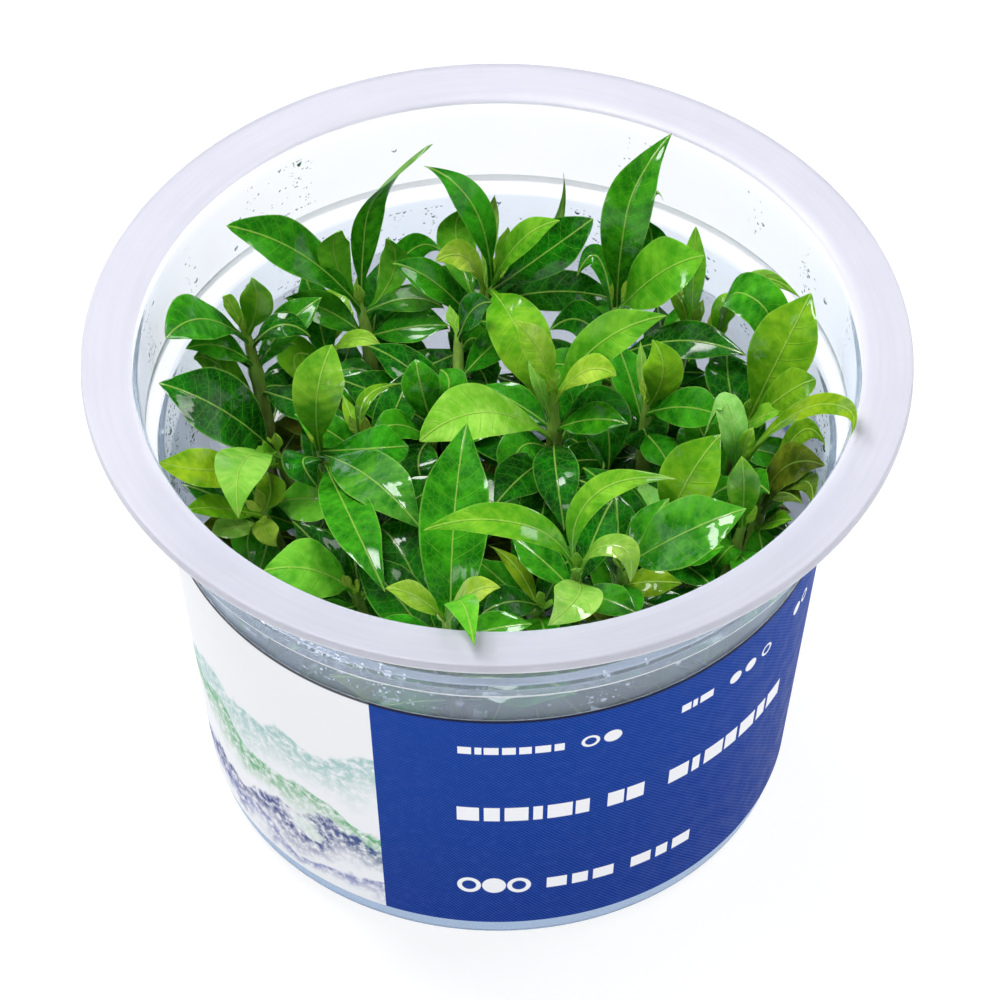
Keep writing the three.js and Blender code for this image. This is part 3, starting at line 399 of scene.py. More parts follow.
def wall_hits(spots):
    return sum(math.hypot(x, y) > free_radius(z) - ROOM_WALL or z < GEL_TOP + 1 for x, y, z in spots.tolist())


def stem_spots():
    steps = range(ROOM_STEM_STEPS + 1)
    return [np.array([stem_point(shoot, k / ROOM_STEM_STEPS) for k in steps]) for shoot in SHOOTS]


def other_stems(stems, own):
    return np.concatenate([stem for i, stem in enumerate(stems) if i != own])


def stem_hits(spots, stem):
    away = spots[:, None, :] - stem[None, :, :]
    return int(np.sum(np.sum(away * away, axis=2) < ROOM_STEM ** 2))


def blade_hits(one, other, gap=ROOM_GAP, side=ROOM_SIDE):
    near = one[0][np.all((one[0] >= other[2]) & (one[0] <= other[3]), axis=1)]
    if not len(near):
        return 0
    away = near[:, None, :] - other[0][None, :, :]
    height = np.sum(away * other[1][None, :, :], axis=2)
    across = np.sum(away * away, axis=2) - height * height
    return int(np.sum((np.abs(height) < gap) & (across < side ** 2)))


def settle(stems):
    """Lift or lower each leaf's tip by the least that keeps it clear of the other shoots."""
    shifts = [0.0] + [s * k for k in range(1, SHIFT_STEPS + 1) for s in (1.0, -1.0)]
    placed, leaves = [], []
    for own, shoot in enumerate(SHOOTS):
        others = other_stems(stems, own)
        row, mine = [], []
        for leaf in shoot[3]:
            best = None
            for shift in shifts:
                points = midrib(shoot, leaf, shift)
                blade = patch(points, leaf)
                hits = WALL_WEIGHT * wall_hits(blade[0]) + stem_hits(blade[0], others)
                near = [other for _, other in placed if boxes_meet(blade, other)]
                hits += sum(blade_hits(blade, other) + blade_hits(other, blade) for other in near)
                if best is None or hits < best[0]:
                    best = (hits, points, blade)
                if hits == 0:
                    break
            row.append((leaf, best[1]))
            mine.append((own, best[2]))
        placed += mine
        leaves.append(row)
    return leaves, placed


def boxes_meet(one, other):
    return bool(np.all(one[2] <= other[3]) and np.all(other[2] <= one[3]))


def side_leaf(shoot, level, azimuth, lift):
    """A leaf as a row of the table, with its midrib points in place of sight readings."""
    s, length, width, rise, tone = level
    root = stem_point(shoot, s)
    a = math.radians(azimuth)
    way = np.array([math.sin(a), -math.cos(a), 0.0])
    points = [root]
    for share, height in ((0.5, LOWER_ARCH), (1.0, 1.0)):
        point = root + way * (length * share)
        point[2] += (rise + lift) * height
        points.append(point)
    return [s, width, 0, 0, 0, tone], points


def clearing_hits(spots):
    hits = 0
    for x0, y0, x1, y1 in CLEARINGS:
        m = CLEARING_MARGIN
        hits += int(np.sum((spots[:, 0] > x0 - m) & (spots[:, 0] < x1 + m) & (spots[:, 1] > y0 - m)
                           & (spots[:, 1] < y1 + m)))
    return hits


def all_leaves():
    """Every leaf of each shoot with its midrib points: the table's, the lower and the inner ones."""
    stems = stem_spots()
    leaves, placed = settle(stems)
    for levels, start, room in ((LOWER_NODES, LOWER_START, LOWER_ROOM),
                                (INNER_NODES, INNER_START, INNER_ROOM)):
        for step, level in enumerate(levels):
            for own in range(len(SHOOTS)):
                for side in (0, 180):
                    azimuth = start + LOWER_SPIRAL * own + 90 * step + side
                    leaf = find_room(own, level, azimuth, stems, placed, room)
                    if leaf:
                        leaves[own].append(leaf)
    for x, y in THIN_SPOTS:
        own, leaf = leaf_towards(x, y, stems, placed)
        if leaf:
            leaves[own].append(leaf)
    return leaves


def leaf_towards(x, y, stems, placed):
    """A leaf that reaches over the spot x, y, with the number of its shoot, or None."""
    middle = ROOM_STEM_STEPS // 2
    nearest = sorted(range(len(SHOOTS)), key=lambda i: math.dist(stems[i][middle][:2], (x, y)))
    for own in nearest[:THIN_STEMS]:
        for s in THIN_LEVELS:
            root = stem_point(SHOOTS[own], s)
            away = math.dist(root[:2], (x, y))
            if THIN_NEAREST < away < THIN_FARTHEST:
                level = [s, away + THIN_BEYOND, min(6.6, 3.6 + 0.2 * away), THIN_RISE, "deep"]
                azimuth = math.degrees(math.atan2(x - root[0], root[1] - y))
                leaf = find_room(own, level, azimuth, stems, placed, INNER_ROOM)
                if leaf:
                    return own, leaf
    return None, None


def find_room(own, level, azimuth, stems, placed, room):
    """The first direction and height in which a leaf is clear of everything, or None."""
    others = other_stems(stems, own)
    gap, side, allowed = room
    skip = LOWER_FREE_FROM * len(ACROSS)
    for turn in LOWER_TURNS:
        for lift in LOWER_LIFTS:
            leaf, points = side_leaf(SHOOTS[own], level, azimuth + turn, lift)
            blade = patch(points, leaf)
            outer = (blade[0][skip:], blade[1][skip:], blade[2], blade[3])
            if wall_hits(blade[0]) or clearing_hits(blade[0]):
                continue
            if stem_hits(outer[0], stems[own]) or stem_hits(blade[0], others):
                continue
            hits = 0
            for i, other in placed:
                if boxes_meet(blade, other):
                    part = outer if i == own else blade
                    hits += blade_hits(part, other, gap, side) + blade_hits(other, part, gap, side)
                    if hits > allowed:
                        break
            if hits <= allowed:
                placed.append((own, blade))
                return leaf, points
    return None


# ---- mesh helpers

def linked(obj):
    bpy.context.scene.collection.objects.link(obj)
    return obj


def mesh_object(name, verts, faces, attributes=None, smooth_angle=50):
    mesh = bpy.data.meshes.new(name)
    mesh.from_pydata([tuple(v) for v in np.asarray(verts, dtype=float) * MM], [], faces)
    mesh.validate()
    for key, values in (attributes or {}).items():
        layer = mesh.attributes.new(key, "FLOAT_VECTOR", "POINT")
        layer.data.foreach_set("vector", np.asarray(values, dtype=np.float32).ravel())
    for poly in mesh.polygons:
        poly.use_smooth = True
    mesh.set_sharp_from_angle(angle=math.radians(smooth_angle))
    mesh.update()
    return linked(bpy.data.objects.new(name, mesh))


def ring_quads(start, rings, size, closed=True, turned=False):
    """Quads between rings of equal size that follow each other from vertex start."""
    faces = []
    for j in range(rings - 1):
        for k in range(size if closed else size - 1):
            a, b = start + j * size + k, start + j * size + (k + 1) % size
            faces.append([a, a + size, b + size, b] if turned else [a, b, b + size, a + size])
    return faces


def lathe(profile, segments):
    """Vertices and faces of a closed profile [radius, height] turned about Z."""
    verts, rings, faces = [], [], []
    for r, z in profile:
        if r < 1e-6:
            rings.append([len(verts)] * segments)
            verts.append((0.0, 0.0, z))
            continue
        rings.append(list(range(len(verts), len(verts) + segments)))
        for k in range(segments):
            a = 2 * math.pi * k / segments
            verts.append((r * math.sin(a), -r * math.cos(a), z))
    for one, two in zip(rings, rings[1:]):
        for k in range(segments):
            n = (k + 1) % segments
            face = [one[k], one[n], two[n], two[k]]
            face = [v for i, v in enumerate(face) if v != face[i - 1]]
            if len(face) > 2:
                faces.append(face)
    return verts, faces


def rounded(points, radius, steps=4):
    """Profile with its inner corners rounded; the ends stay."""
    out = [points[0]]
    for a, b, c in zip(points, points[1:], points[2:]):
        a, b, c = (np.array(p, float) for p in (a, b, c))
        r = min(radius, np.linalg.norm(a - b) / 2.2, np.linalg.norm(c - b) / 2.2)
        p, q = b + unit(a - b) * r, b + unit(c - b) * r
        for k in range(steps + 1):
            t = k / steps
            out.append(tuple(p * (1 - t) ** 2 + b * 2 * t * (1 - t) + q * t * t))
    out.append(points[-1])
    return out


def put(obj, node, material):
    obj.data.materials.append(material)
    if node:
        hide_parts(node)
    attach(obj, "root")
    return obj


# ---- material helpers

class Flow:
    """A value that flows through a node tree, with plain arithmetic."""

    def __init__(self, look, socket):
        self.look, self.socket = look, socket

    def __add__(self, other):
        return self.look.math("ADD", self, other)

    def __sub__(self, other):
        return self.look.math("SUBTRACT", self, other)

    def __rsub__(self, other):
        return self.look.math("SUBTRACT", other, self)

    def __mul__(self, other):
        return self.look.math("MULTIPLY", self, other)

    def __abs__(self):
        return self.look.math("ABSOLUTE", self)


class Look:
    """A node material with one Principled shader; coordinates come in millimetres."""

    SOCKETS = {"colour": "Base Color", "roughness": "Roughness", "ior": "IOR", "coat": "Coat Weight",
               "coat_roughness": "Coat Roughness", "transmission": "Transmission Weight",
               "specular": "Specular IOR Level", "sheen": "Sheen Weight",
               "sheen_roughness": "Sheen Roughness", "sheen_tint": "Sheen Tint"}

    def __init__(self, name):
        self.material = bpy.data.materials.new(name)
        self.material.use_nodes = True
        self.tree = self.material.node_tree
        self.shader = self.tree.nodes["Principled BSDF"]
        coords = self.node("ShaderNodeTexCoord")
        self.place = self.scaled(Flow(self, coords.outputs["Object"]), (1 / MM, 1 / MM, 1 / MM))

    def node(self, kind, **settings):
        node = self.tree.nodes.new(kind)
        for key, value in settings.items():
            setattr(node, key, value)
        return node

    def feed(self, socket, value):
        if isinstance(value, Flow):
            self.tree.links.new(value.socket, socket)
        elif isinstance(value, tuple) and socket.type == "RGBA":
            socket.default_value = (*value, 1.0)
        elif value is not None:
            socket.default_value = value

    def made(self, node, feeds, output=0):
        """The node's output, once its inputs are fed."""
        for key, value in feeds.items():
            self.feed(node.inputs[key], value)
        return Flow(self, node.outputs[output])

    def math(self, operation, a, b=None, clamp=False):
        return self.made(self.node("ShaderNodeMath", operation=operation, use_clamp=clamp), {0: a, 1: b})

    def ramp(self, value, low, high, out_low=0.0, out_high=1.0):
        return self.made(self.node("ShaderNodeMapRange", interpolation_type="SMOOTHSTEP"),
                         {"Value": value, "From Min": low, "From Max": high, "To Min": out_low,
                          "To Max": out_high})

    def mix(self, share, a, b):
        return self.made(self.node("ShaderNodeMix", data_type="RGBA"), {0: share, 6: a, 7: b}, 2)

    def scaled(self, vector, scale):
        return self.made(self.node("ShaderNodeVectorMath", operation="MULTIPLY"), {0: vector, 1: scale})

    def noise(self, scale, detail=2.0, roughness=0.5, vector=None):
        return self.made(self.node("ShaderNodeTexNoise"), {"Vector": vector or self.place, "Scale": scale,
                                                           "Detail": detail, "Roughness": roughness})

    def cells(self, scale, vector):
        node = self.node("ShaderNodeTexVoronoi", feature="DISTANCE_TO_EDGE", voronoi_dimensions="2D")
        return self.made(node, {"Vector": vector, "Scale": scale}, "Distance")

    def split(self, vector):
        node = self.node("ShaderNodeSeparateXYZ")
        self.feed(node.inputs[0], vector)
        return [Flow(self, output) for output in node.outputs]

    def joined(self, x, y, z=None):
        return self.made(self.node("ShaderNodeCombineXYZ"), {0: x, 1: y, 2: z})

    def attribute(self, name, output="Vector"):
        return Flow(self, self.node("ShaderNodeAttribute", attribute_name=name).outputs[output])

    def bump(self, height, depth, socket="Normal"):
        """Height 0 to 1 stands for depth in millimetres."""
        normal = self.made(self.node("ShaderNodeBump"), {"Height": height, "Distance": depth * MM})
        self.feed(self.shader.inputs[socket], normal)

    def set(self, **values):
        for key, value in values.items():
            self.feed(self.shader.inputs[self.SOCKETS[key]], value)


def frosted_plastic():
    """Milky polypropylene of the rim and the ledge's lip, with a painted highlight along the rim's lower edge
    and on the lip.
    """
    look = Look("frosted_plastic")
    cloud = look.noise(0.10)
    grain = look.noise(3.0)
    x, y, z = look.split(look.place)
    reach = look.math("SQRT", x * x + y * y)
    flow = look.noise(1.6, vector=look.joined(reach, look.math("ARCTAN2", x, y) * 1.5))
    colour = look.mix(look.ramp(flow * 0.6 + cloud * 0.4, 0.3, 0.7), (0.685, 0.682, 0.780),
                      (0.735, 0.728, 0.822))
    # Painted highlight: the colour turns near white below 63.7 mm, on the rim's lower edge and on the ledge's
    # lip
    colour = look.mix(look.ramp(z, 64.0, 63.7), colour, (0.97, 0.98, 1.0))
    look.set(colour=colour, transmission=0.40, ior=1.49, roughness=look.ramp(grain, 0.3, 0.7, 0.30, 0.42),
             specular=0.4)
    look.bump(grain * 0.3 + flow, 0.02)
    return look.material


def clear_plastic(name, thin, thick, transmission, rough, haze, ior):
    """Clearer thin wall, finely scuffed; thin and thick are its lightest and fullest tint."""
    look = Look(name)
    cloud = look.noise(0.12, 1.0)
    scuff = look.noise(1.6, vector=look.scaled(look.place, (1.0, 1.0, 0.15)))
    height = look.split(look.place)[2]
    # Painted shade: the wall turns dark blue-grey below 5 mm, at the cup's foot
    colour = look.mix(look.ramp(height, 5.0, 2.6), look.mix(cloud, thick, thin), (0.46, 0.59, 0.77))
    look.set(colour=colour, transmission=transmission, ior=ior, specular=0.5,
             roughness=look.ramp(scuff, 0.35, 0.75, rough, rough + 0.07), sheen=haze, sheen_roughness=0.6,
             sheen_tint=(0.66, 0.80, 1.0))
    look.bump(cloud, 0.05)
    return look.material


def culture_gel():
    """Milky, wet agar with a lumpy surface."""
    look = Look("culture_gel")
    lumps = look.noise(0.22, 3.0)
    crumbs = look.noise(1.1, 3.0)
    look.set(colour=look.mix(look.ramp(lumps, 0.35, 0.65), (0.46, 0.54, 0.60), (0.68, 0.76, 0.82)),
             ior=1.34, roughness=look.ramp(crumbs, 0.35, 0.7, 0.03, 0.16))
    look.bump(crumbs * 0.4 + lumps, 0.6)
    return look.material


def water():
    """Clear drops with a trace of unevenness."""
    look = Look("condensation")
    look.set(colour=(0.97, 0.98, 1.0), transmission=1.0, ior=1.33,
             roughness=look.ramp(look.noise(2.0, 1.0), 0.0, 1.0, 0.0, 0.04))
    return look.material


def leaf_surface():
    """Wet leaf: mottled green, paler midrib and side veins, glossy with wetter patches."""
    look = Look("leaf_surface")
    light, dark = look.attribute("light", "Color"), look.attribute("dark", "Color")
    aside, count, half = look.split(look.attribute("blade"))
    under, wetness, along = look.split(look.attribute("state"))
    across = abs(aside)
    rib = look.ramp(across * half, 0.05, 0.16, 1.0, 0.0)
    wave = abs(look.math("FRACT", count - look.math("POWER", across, 1.25) * 1.15) - 0.5)
    vein = look.ramp(wave, 0.05, 0.0) * look.ramp(across, 0.98, 0.72)
    quilt = look.ramp(wave, 0.5, 0.0)
    net = look.ramp(look.cells(1.2, look.joined(aside * half, count * 2.2)), 0.0, 0.13, 1.0, 0.0)
    mottle = look.noise(0.28, 3.0, 0.65)
    shade = look.ramp(mottle, 0.34, 0.66) * 0.78 + (look.noise(1.2, 1.0) - 0.5) * 0.5
    shade = shade + look.ramp(along, 0.0, 0.55, -0.45, 0.12)
    shade = look.math("ADD", shade, (quilt - 0.5) * 0.20, clamp=True)
    colour = look.mix(shade, dark, light)
    colour = look.mix(net * 0.16, colour, (0.16, 0.46, 0.03))
    colour = look.mix(vein * 0.26, colour, (0.22, 0.52, 0.04))
    colour = look.mix(look.ramp(across, 0.93, 1.0, 0.0, 0.35), colour, (0.34, 0.62, 0.10))
    colour = look.mix(rib * 0.55, colour, (0.38, 0.64, 0.10))
    colour = look.mix(under, colour, look.mix(0.45, colour, (0.26, 0.44, 0.12)))
    wet = look.ramp(look.noise(0.16, 1.0), 0.76 - wetness, 0.90 - wetness)
    look.set(colour=colour, roughness=look.ramp(wet, 0.0, 1.0, 0.42, 0.22), ior=1.36, specular=0.08,
             coat=look.ramp(wet, 0.0, 1.0), coat_roughness=0.07)
    look.bump(quilt * 0.22 - vein * 0.25 - rib * 0.5 + look.noise(0.45, 1.0) * 1.2, 0.20)
    tone = look.split(look.attribute("light"))[0]
    runs = look.noise(0.60, 1.0, vector=look.joined(aside * half, count * 0.45, tone * 40.0))
    film = look.noise(0.22, 1.0) + runs * 0.45 - rib * 0.15
    look.bump(film, 0.32, "Coat Normal")
    return look.material


def stem_surface():
    look = Look("stem_surface")
    fibre = look.noise(1.5, 3.0, vector=look.scaled(look.place, (1.0, 1.0, 0.12)))
    blotch = look.noise(0.3, 3.0)
    colour = look.mix(fibre, look.attribute("dark", "Color"), look.attribute("light", "Color"))
    colour = look.mix(look.ramp(blotch, 0.50, 0.72, 0.0, 0.38), colour, (0.12, 0.065, 0.030))
    look.set(colour=colour, roughness=look.ramp(fibre, 0.3, 0.7, 0.22, 0.36), ior=1.42, specular=0.25,
             coat=0.25, coat_roughness=0.08)
    look.bump(fibre + blotch * 0.4, 0.12)
    return look.material


# ---- label print: arc length round the cup and height, both in millimetres, stored as "print"

LABEL_ARC_RADIUS = 37.5
WHITE_FROM, BLUE_FROM, BLUE_TO = -86, -22, 86
EDGE = 0.06
# Rows of plain dashes: height, half height, then start and end angles in degrees
BLUE_ROWS = [
    [38.6, 0.70, [-7, -4.6, -4.1, -2.9, -2.4, 0.2, 0.8, 3.2, 3.7, 6.0, 6.6, 9.4, 9.9, 11.8, 34.0, 36.0, 36.5,
                  37.5, 38.0, 41.0]],
    [25.6, 1.35, [-7.6, -3.4, -2.6, 0.4, 1.2, 5.6, 6.3, 8.2, 9.0, 13.6, 14.4, 17.0, 20.5, 23.5, 24.3, 27.6,
                  33.0, 37.2, 38.0, 40.0, 40.9, 45.6, 46.4, 49.5, 50.3, 54.8, 55.7, 58.3, 59.2, 63.8]],
    [10.9, 1.0, [9.5, 13.4, 14.5, 17.6, 18.7, 22.8, 26.5, 30.8, 32.0, 34.6, 35.8, 40.0]],
]
BACK_ROWS = [
    [36.0, 0.9, [112, 118, 119, 127, 128.5, 132, 133, 141, 142, 150]],
    [31.5, 0.5, [112, 118, 119, 123, 124, 132, 133, 136, 137, 145, 146, 150, 151, 158]],
    [29.0, 0.5, [112, 115, 116, 124, 125, 129, 130, 139, 140, 143, 144, 153]],
    [26.5, 0.5, [112, 120, 121, 125, 126, 130, 131, 141, 142, 148, 149, 156]],
    [24.0, 0.5, [112, 116, 117, 126, 127, 133, 134, 138, 139, 146]],
    [17.0, 0.5, [112, 119, 120, 128, 129, 132, 133, 140, 141, 150, 151, 155]],
    [14.5, 0.5, [112, 117, 118, 121, 122, 131, 132, 138, 139, 144]],
]
# Dots: angle in degrees, height, radius, hole radius
BLUE_DOTS = [[46.6, 38.3, 0.95, 0.0], [50.6, 38.3, 0.95, 0.0], [55.2, 38.3, 0.95, 0.62],
             [66.0, 38.6, 0.9, 0.0], [69.5, 38.6, 0.9, 0.55], [-5.4, 10.9, 1.5, 0.9], [-0.6, 10.9, 1.5, 0.0],
             [4.2, 10.9, 1.5, 0.9], [16.5, 38.7, 1.1, 0.7], [20.6, 38.7, 1.1, 0.0]]
BACK_DOTS = [[115, 8.6, 1.3, 0.8], [120, 8.6, 1.3, 0.0], [125, 8.6, 1.3, 0.8]]


class Print(Look):
    """A label finish; arc length, height and outside flag come from the "print" attribute."""

    def __init__(self, name):
        super().__init__(name)
        self.sheet = self.attribute("print")
        self.arc, self.height, self.outside = self.split(self.sheet)

    def between(self, value, low, high):
        up = self.ramp(value, low - EDGE, low + EDGE)
        return up * self.ramp(value, high - EDGE, high + EDGE, 1.0, 0.0)

    def painted_top_shadow(self, colour):
        """Painted shadow: a thin dark line along the upper edge, where the film's edge meets the wall."""
        line = self.ramp(self.height, LABEL_TOP - 0.55, LABEL_TOP - 0.30) * 0.93
        return self.mix(line, colour, (0.008, 0.010, 0.020))

    def marks(self, rows, dots):
        """Mask of the dash rows and dots."""
        per_degree = math.radians(LABEL_ARC_RADIUS)
        masks = []
        for level, half, edges in rows:
            low, high = edges[0] * per_degree - 1, edges[-1] * per_degree + 1
            row = self.node("ShaderNodeValToRGB")
            row.color_ramp.interpolation = "CONSTANT"
            stops = row.color_ramp.elements
            while len(stops) < len(edges) + 1:
                stops.new(1.0)
            for i, stop in enumerate(stops):
                stop.position = (edges[i - 1] * per_degree - low) / (high - low) if i else 0.0
                stop.color = (i % 2, i % 2, i % 2, 1)
            dashes = self.made(row, {0: self.math("DIVIDE", self.arc - low, high - low)})
            masks.append(dashes * self.between(self.arc, low, high)
                         * self.between(self.height, level - half, level + half))
        for angle, level, radius, hole in dots:
            dx, dz = self.arc - angle * per_degree, self.height - level
            away = self.math("SQRT", dx * dx + dz * dz)
            mask = self.ramp(away, radius - EDGE, radius + EDGE, 1.0, 0.0)
            masks.append(mask * self.ramp(away, hole - EDGE, hole + EDGE) if hole else mask)
        total = masks[0]
        for mask in masks[1:]:
            total = self.math("MAXIMUM", total, mask)
        return total

    def finish(self, colour, inside, rough, relief=None, **values):
        """Colour on the outside face, the inside's own colour within, and the film's fine unevenness."""
        film = self.noise(0.5, 1.0)
        self.set(colour=self.mix(self.outside, inside, colour), roughness=self.ramp(film, 0.3, 0.7, *rough),
                 **values)
        self.bump(relief * 0.10 + film if relief else film, 0.03)
        return self.material


def blue_print():
    look = Print("label_blue")
    colour = look.mix(look.ramp(look.height, LABEL_BOTTOM, LABEL_TOP), (0.004, 0.027, 0.230),
                      (0.004, 0.040, 0.290))
    rise = look.math("SINE", (look.arc + look.height) * 11.0)
    lean = look.math("SINE", (look.arc - look.height) * 11.0)
    screen = look.ramp(rise + lean * 0.45, -0.2, 1.2)
    colour = look.mix(screen * 0.55, colour, (0.024, 0.125, 0.545))
    colour = look.mix(look.ramp(look.noise(0.9, vector=look.sheet), 0.45, 0.8, 0.0, 0.25), colour,
                      (0.030, 0.090, 0.420))
    # Print marks, then the painted shadow line along the upper edge
    colour = look.painted_top_shadow(look.mix(look.marks(BLUE_ROWS, BLUE_DOTS), colour, (0.94, 0.95, 0.98)))
    return look.finish(colour, (0.74, 0.76, 0.80), (0.42, 0.55), screen, ior=1.40, specular=0.06)


def white_print():
    """White film with water-colour hills, left of the blue."""
    look = Print("label_white")
    wobble = look.noise(0.10, 3.0, vector=look.sheet)
    fine = look.ramp(look.noise(0.9, 4.0, 0.65, vector=look.sheet), 0.30, 0.62)
    colour = look.mix(look.ramp(look.height, 8.0, 40.0), (0.885, 0.90, 0.93), (0.90, 0.91, 0.935))
    for level, slope, thickness, tint, amount in (
            (29.0, 0.16, 10.0, (0.22, 0.50, 0.46), 0.75), (20.0, -0.20, 8.0, (0.10, 0.42, 0.16), 0.95),
            (12.5, 0.14, 6.0, (0.04, 0.06, 0.26), 0.97), (7.5, -0.06, 4.0, (0.12, 0.15, 0.44), 0.85)):
        ridge = (look.arc + 30.0) * slope + (wobble - 0.5) * 16.0 + level
        depth = ridge - look.height
        wash = look.ramp(depth, -0.4, 0.5) * look.ramp(depth, thickness, 0.5) * fine
        colour = look.mix(wash * amount, colour, tint)
    # The washes, then the painted shadow line along the upper edge
    return look.finish(look.painted_top_shadow(colour), (0.78, 0.80, 0.83), (0.60, 0.75), ior=1.30,
                       specular=0.25)


def clear_print():
    """Milky see-through film round the back with plain rows of dashes."""
    look = Print("label_clear")
    clear = look.mix(look.noise(0.15, 3.0, vector=look.sheet), (0.95, 0.95, 0.98), (0.99, 0.99, 1.0))
    colour = look.mix(look.marks(BACK_ROWS, BACK_DOTS), clear, (0.020, 0.050, 0.260))
    return look.finish(colour, clear, (0.42, 0.55), transmission=0.76, ior=1.20, specular=0.3)


# ---- pieces

# Borders of the cup's finishes: frosted above, inside the rim above, clear neck above, lip below
FROSTED_ABOVE, FROSTED_ABOVE_INSIDE, NECK_ABOVE, LIP_BELOW = 63.0, 64.4, 51.5, 52.4
CUP_SEGMENTS = 256


def build_cup():
    """Profile [radius, height] up the outside and down the inside, with its corners rounded."""
    body, lip = body_radius, FLANGE_THICKNESS / 2
    outer = [(0, 0), (32.9, 0), (34.1, 0.45), (body(1.4), 1.4), (body(30), 30), (body(51.2), 51.2),
             (body(51.7) + 0.4, 51.7), (42.9, 51.75), (NECK_FOOT_OUTER_RADIUS, 52.3),
             (NECK_FOOT_OUTER_RADIUS + 0.12, 54.0), (NECK_OUTER_RADIUS, 63.1), (44.5, 63.5), (49.2, 63.5),
             (RIM_RADIUS, 63.5), (RIM_RADIUS, RIM_HEIGHT - lip), (RIM_RADIUS, RIM_HEIGHT), (49.2, RIM_HEIGHT),
             (46.6, RIM_HEIGHT - 0.05), (FLANGE_INNER_RADIUS, RIM_HEIGHT - 0.05), (43.8, 64.5),
             (NECK_INNER_RADIUS, 63.2), (42.75, 58.0), (NECK_FOOT_INNER_RADIUS, 53.5), (41.9, 52.95),
             (body(LEDGE_TOP_HEIGHT) - WALL, 52.6), (body(45) - WALL, 45), (body(25) - WALL, 25),
             (body(2.6) - WALL, 2.8), (32.4, 1.25), (20, FLOOR), (0, FLOOR)]
    verts, faces = lathe(rounded(outer, 0.55), CUP_SEGMENTS)
    cup = mesh_object("cup_shell", verts, faces, smooth_angle=60)
    wall = clear_plastic("clear_plastic", (0.87, 0.91, 0.99), (0.79, 0.86, 0.97), 0.90, 0.0, 0.60, 1.12)
    neck = clear_plastic("neck_plastic", (0.955, 0.955, 0.99), (0.93, 0.945, 0.985), 0.95, 0.05, 0.55, 1.07)
    put(cup, "cup", wall)
    cup.data.materials.append(frosted_plastic())
    cup.data.materials.append(neck)
    for poly in cup.data.polygons:
        z, reach = poly.center.z / MM, math.hypot(poly.center.x, poly.center.y) / MM
        if z > (FROSTED_ABOVE_INSIDE if reach < FLANGE_INNER_RADIUS - 0.7 else FROSTED_ABOVE):
            poly.material_index = 1
        elif z > NECK_ABOVE:
            poly.material_index = 1 if z < LIP_BELOW and reach > NECK_FOOT_OUTER_RADIUS - 0.6 else 2
    return cup


LABEL_COLUMNS, LABEL_ROWS = 288, 30
LABEL_FILM, LABEL_STAND_OFF = 0.22, 0.08


def build_label():
    """A closed film: its outside and inside sheets, joined along the four edges."""
    columns, rows = LABEL_COLUMNS, LABEL_ROWS
    verts, marks = [], []
    for side in (1, 0):
        for j in range(rows + 1):
            z = LABEL_BOTTOM + (LABEL_TOP - LABEL_BOTTOM) * j / rows
            r = body_radius(z) + LABEL_STAND_OFF + LABEL_FILM * side
            for i in range(columns + 1):
                a = math.pi * (2 * i / columns - 1)
                verts.append((r * math.sin(a), -r * math.cos(a), z))
                marks.append((a * LABEL_ARC_RADIUS, z, float(side)))
    width, layer = columns + 1, (columns + 1) * (rows + 1)
    faces = ring_quads(0, rows + 1, width, closed=False)
    faces += ring_quads(layer, rows + 1, width, closed=False, turned=True)
    for first, step, count, turned in ((0, 1, columns, True), (rows * width, 1, columns, False),
                                       (0, width, rows, False), (columns, width, rows, True)):
        for a in range(first, first + step * count, step):
            b = a + step
            faces.append([a, a + layer, b + layer, b] if turned else [a, b, b + layer, a + layer])
    label = mesh_object("label_wrap", verts, faces, {"print": marks})
    put(label, "label", blue_print())
    label.data.materials.append(white_print())
    label.data.materials.append(clear_print())
    for poly in label.data.polygons:
        angle = math.degrees(math.atan2(poly.center.x, -poly.center.y))
        white = 1 if WHITE_FROM < angle <= BLUE_FROM else 2
        poly.material_index = 0 if BLUE_FROM < angle < BLUE_TO else white
    return label


GEL_SEGMENTS, GEL_RINGS = 160, 40
GEL_CLEARANCE = 0.25


def build_gel():
    """A solid of the body's inside form, with a lumpy top that climbs a little at the wall."""
    def side(z):
        return body_radius(z) - WALL - GEL_CLEARANCE

    segments, rings = GEL_SEGMENTS, GEL_RINGS
    top = side(GEL_TOP)
    below = [(0, 1.5), (16, 1.5), (32.2, 1.6), (side(3.2), 3.2), (side(12), 12), (top, GEL_TOP)]
    verts, faces = lathe(below + [(top * j / rings, GEL_TOP) for j in range(rings, -1, -1)], segments)
    for i in range(1 + segments * (len(below) - 1), len(verts)):
        x, y, z = verts[i]
        share = math.hypot(x, y) / top
        lump = math.sin(0.51 * x + 1.3) * math.cos(0.43 * y - 0.6) + 0.5 * math.sin(1.07 * x - 0.83 * y)
        climb = 1.2 * max(0.0, share - 0.93) / 0.07
        verts[i] = (x, y, GEL_TOP - 0.1 + 0.35 * lump * (1 - min(1.0, share) ** 6) + climb)
    return put(mesh_object("gel_fill", verts, faces), "gel", culture_gel())


# Steps along a blade set out from the photo, a lower or inner one and a bud, and across half of any
LEAF_STEPS = 28
LOW_LEAF_STEPS = 16
BUD_STEPS = 8
LEAF_ACROSS = 7
# Places round a section of the blade: share of the half width, and 1 on the upper face or -1 below
LEAF_RING = [(k / LEAF_ACROSS, 1) for k in range(-LEAF_ACROSS, LEAF_ACROSS + 1)]
LEAF_RING += [(k / LEAF_ACROSS, -1) for k in range(LEAF_ACROSS - 1, -LEAF_ACROSS, -1)]
TIP_SHARPNESS = 0.4
BLADE_SKIN = 0.10
RIB_REACH = 0.42
RIB_BELOW = 0.34


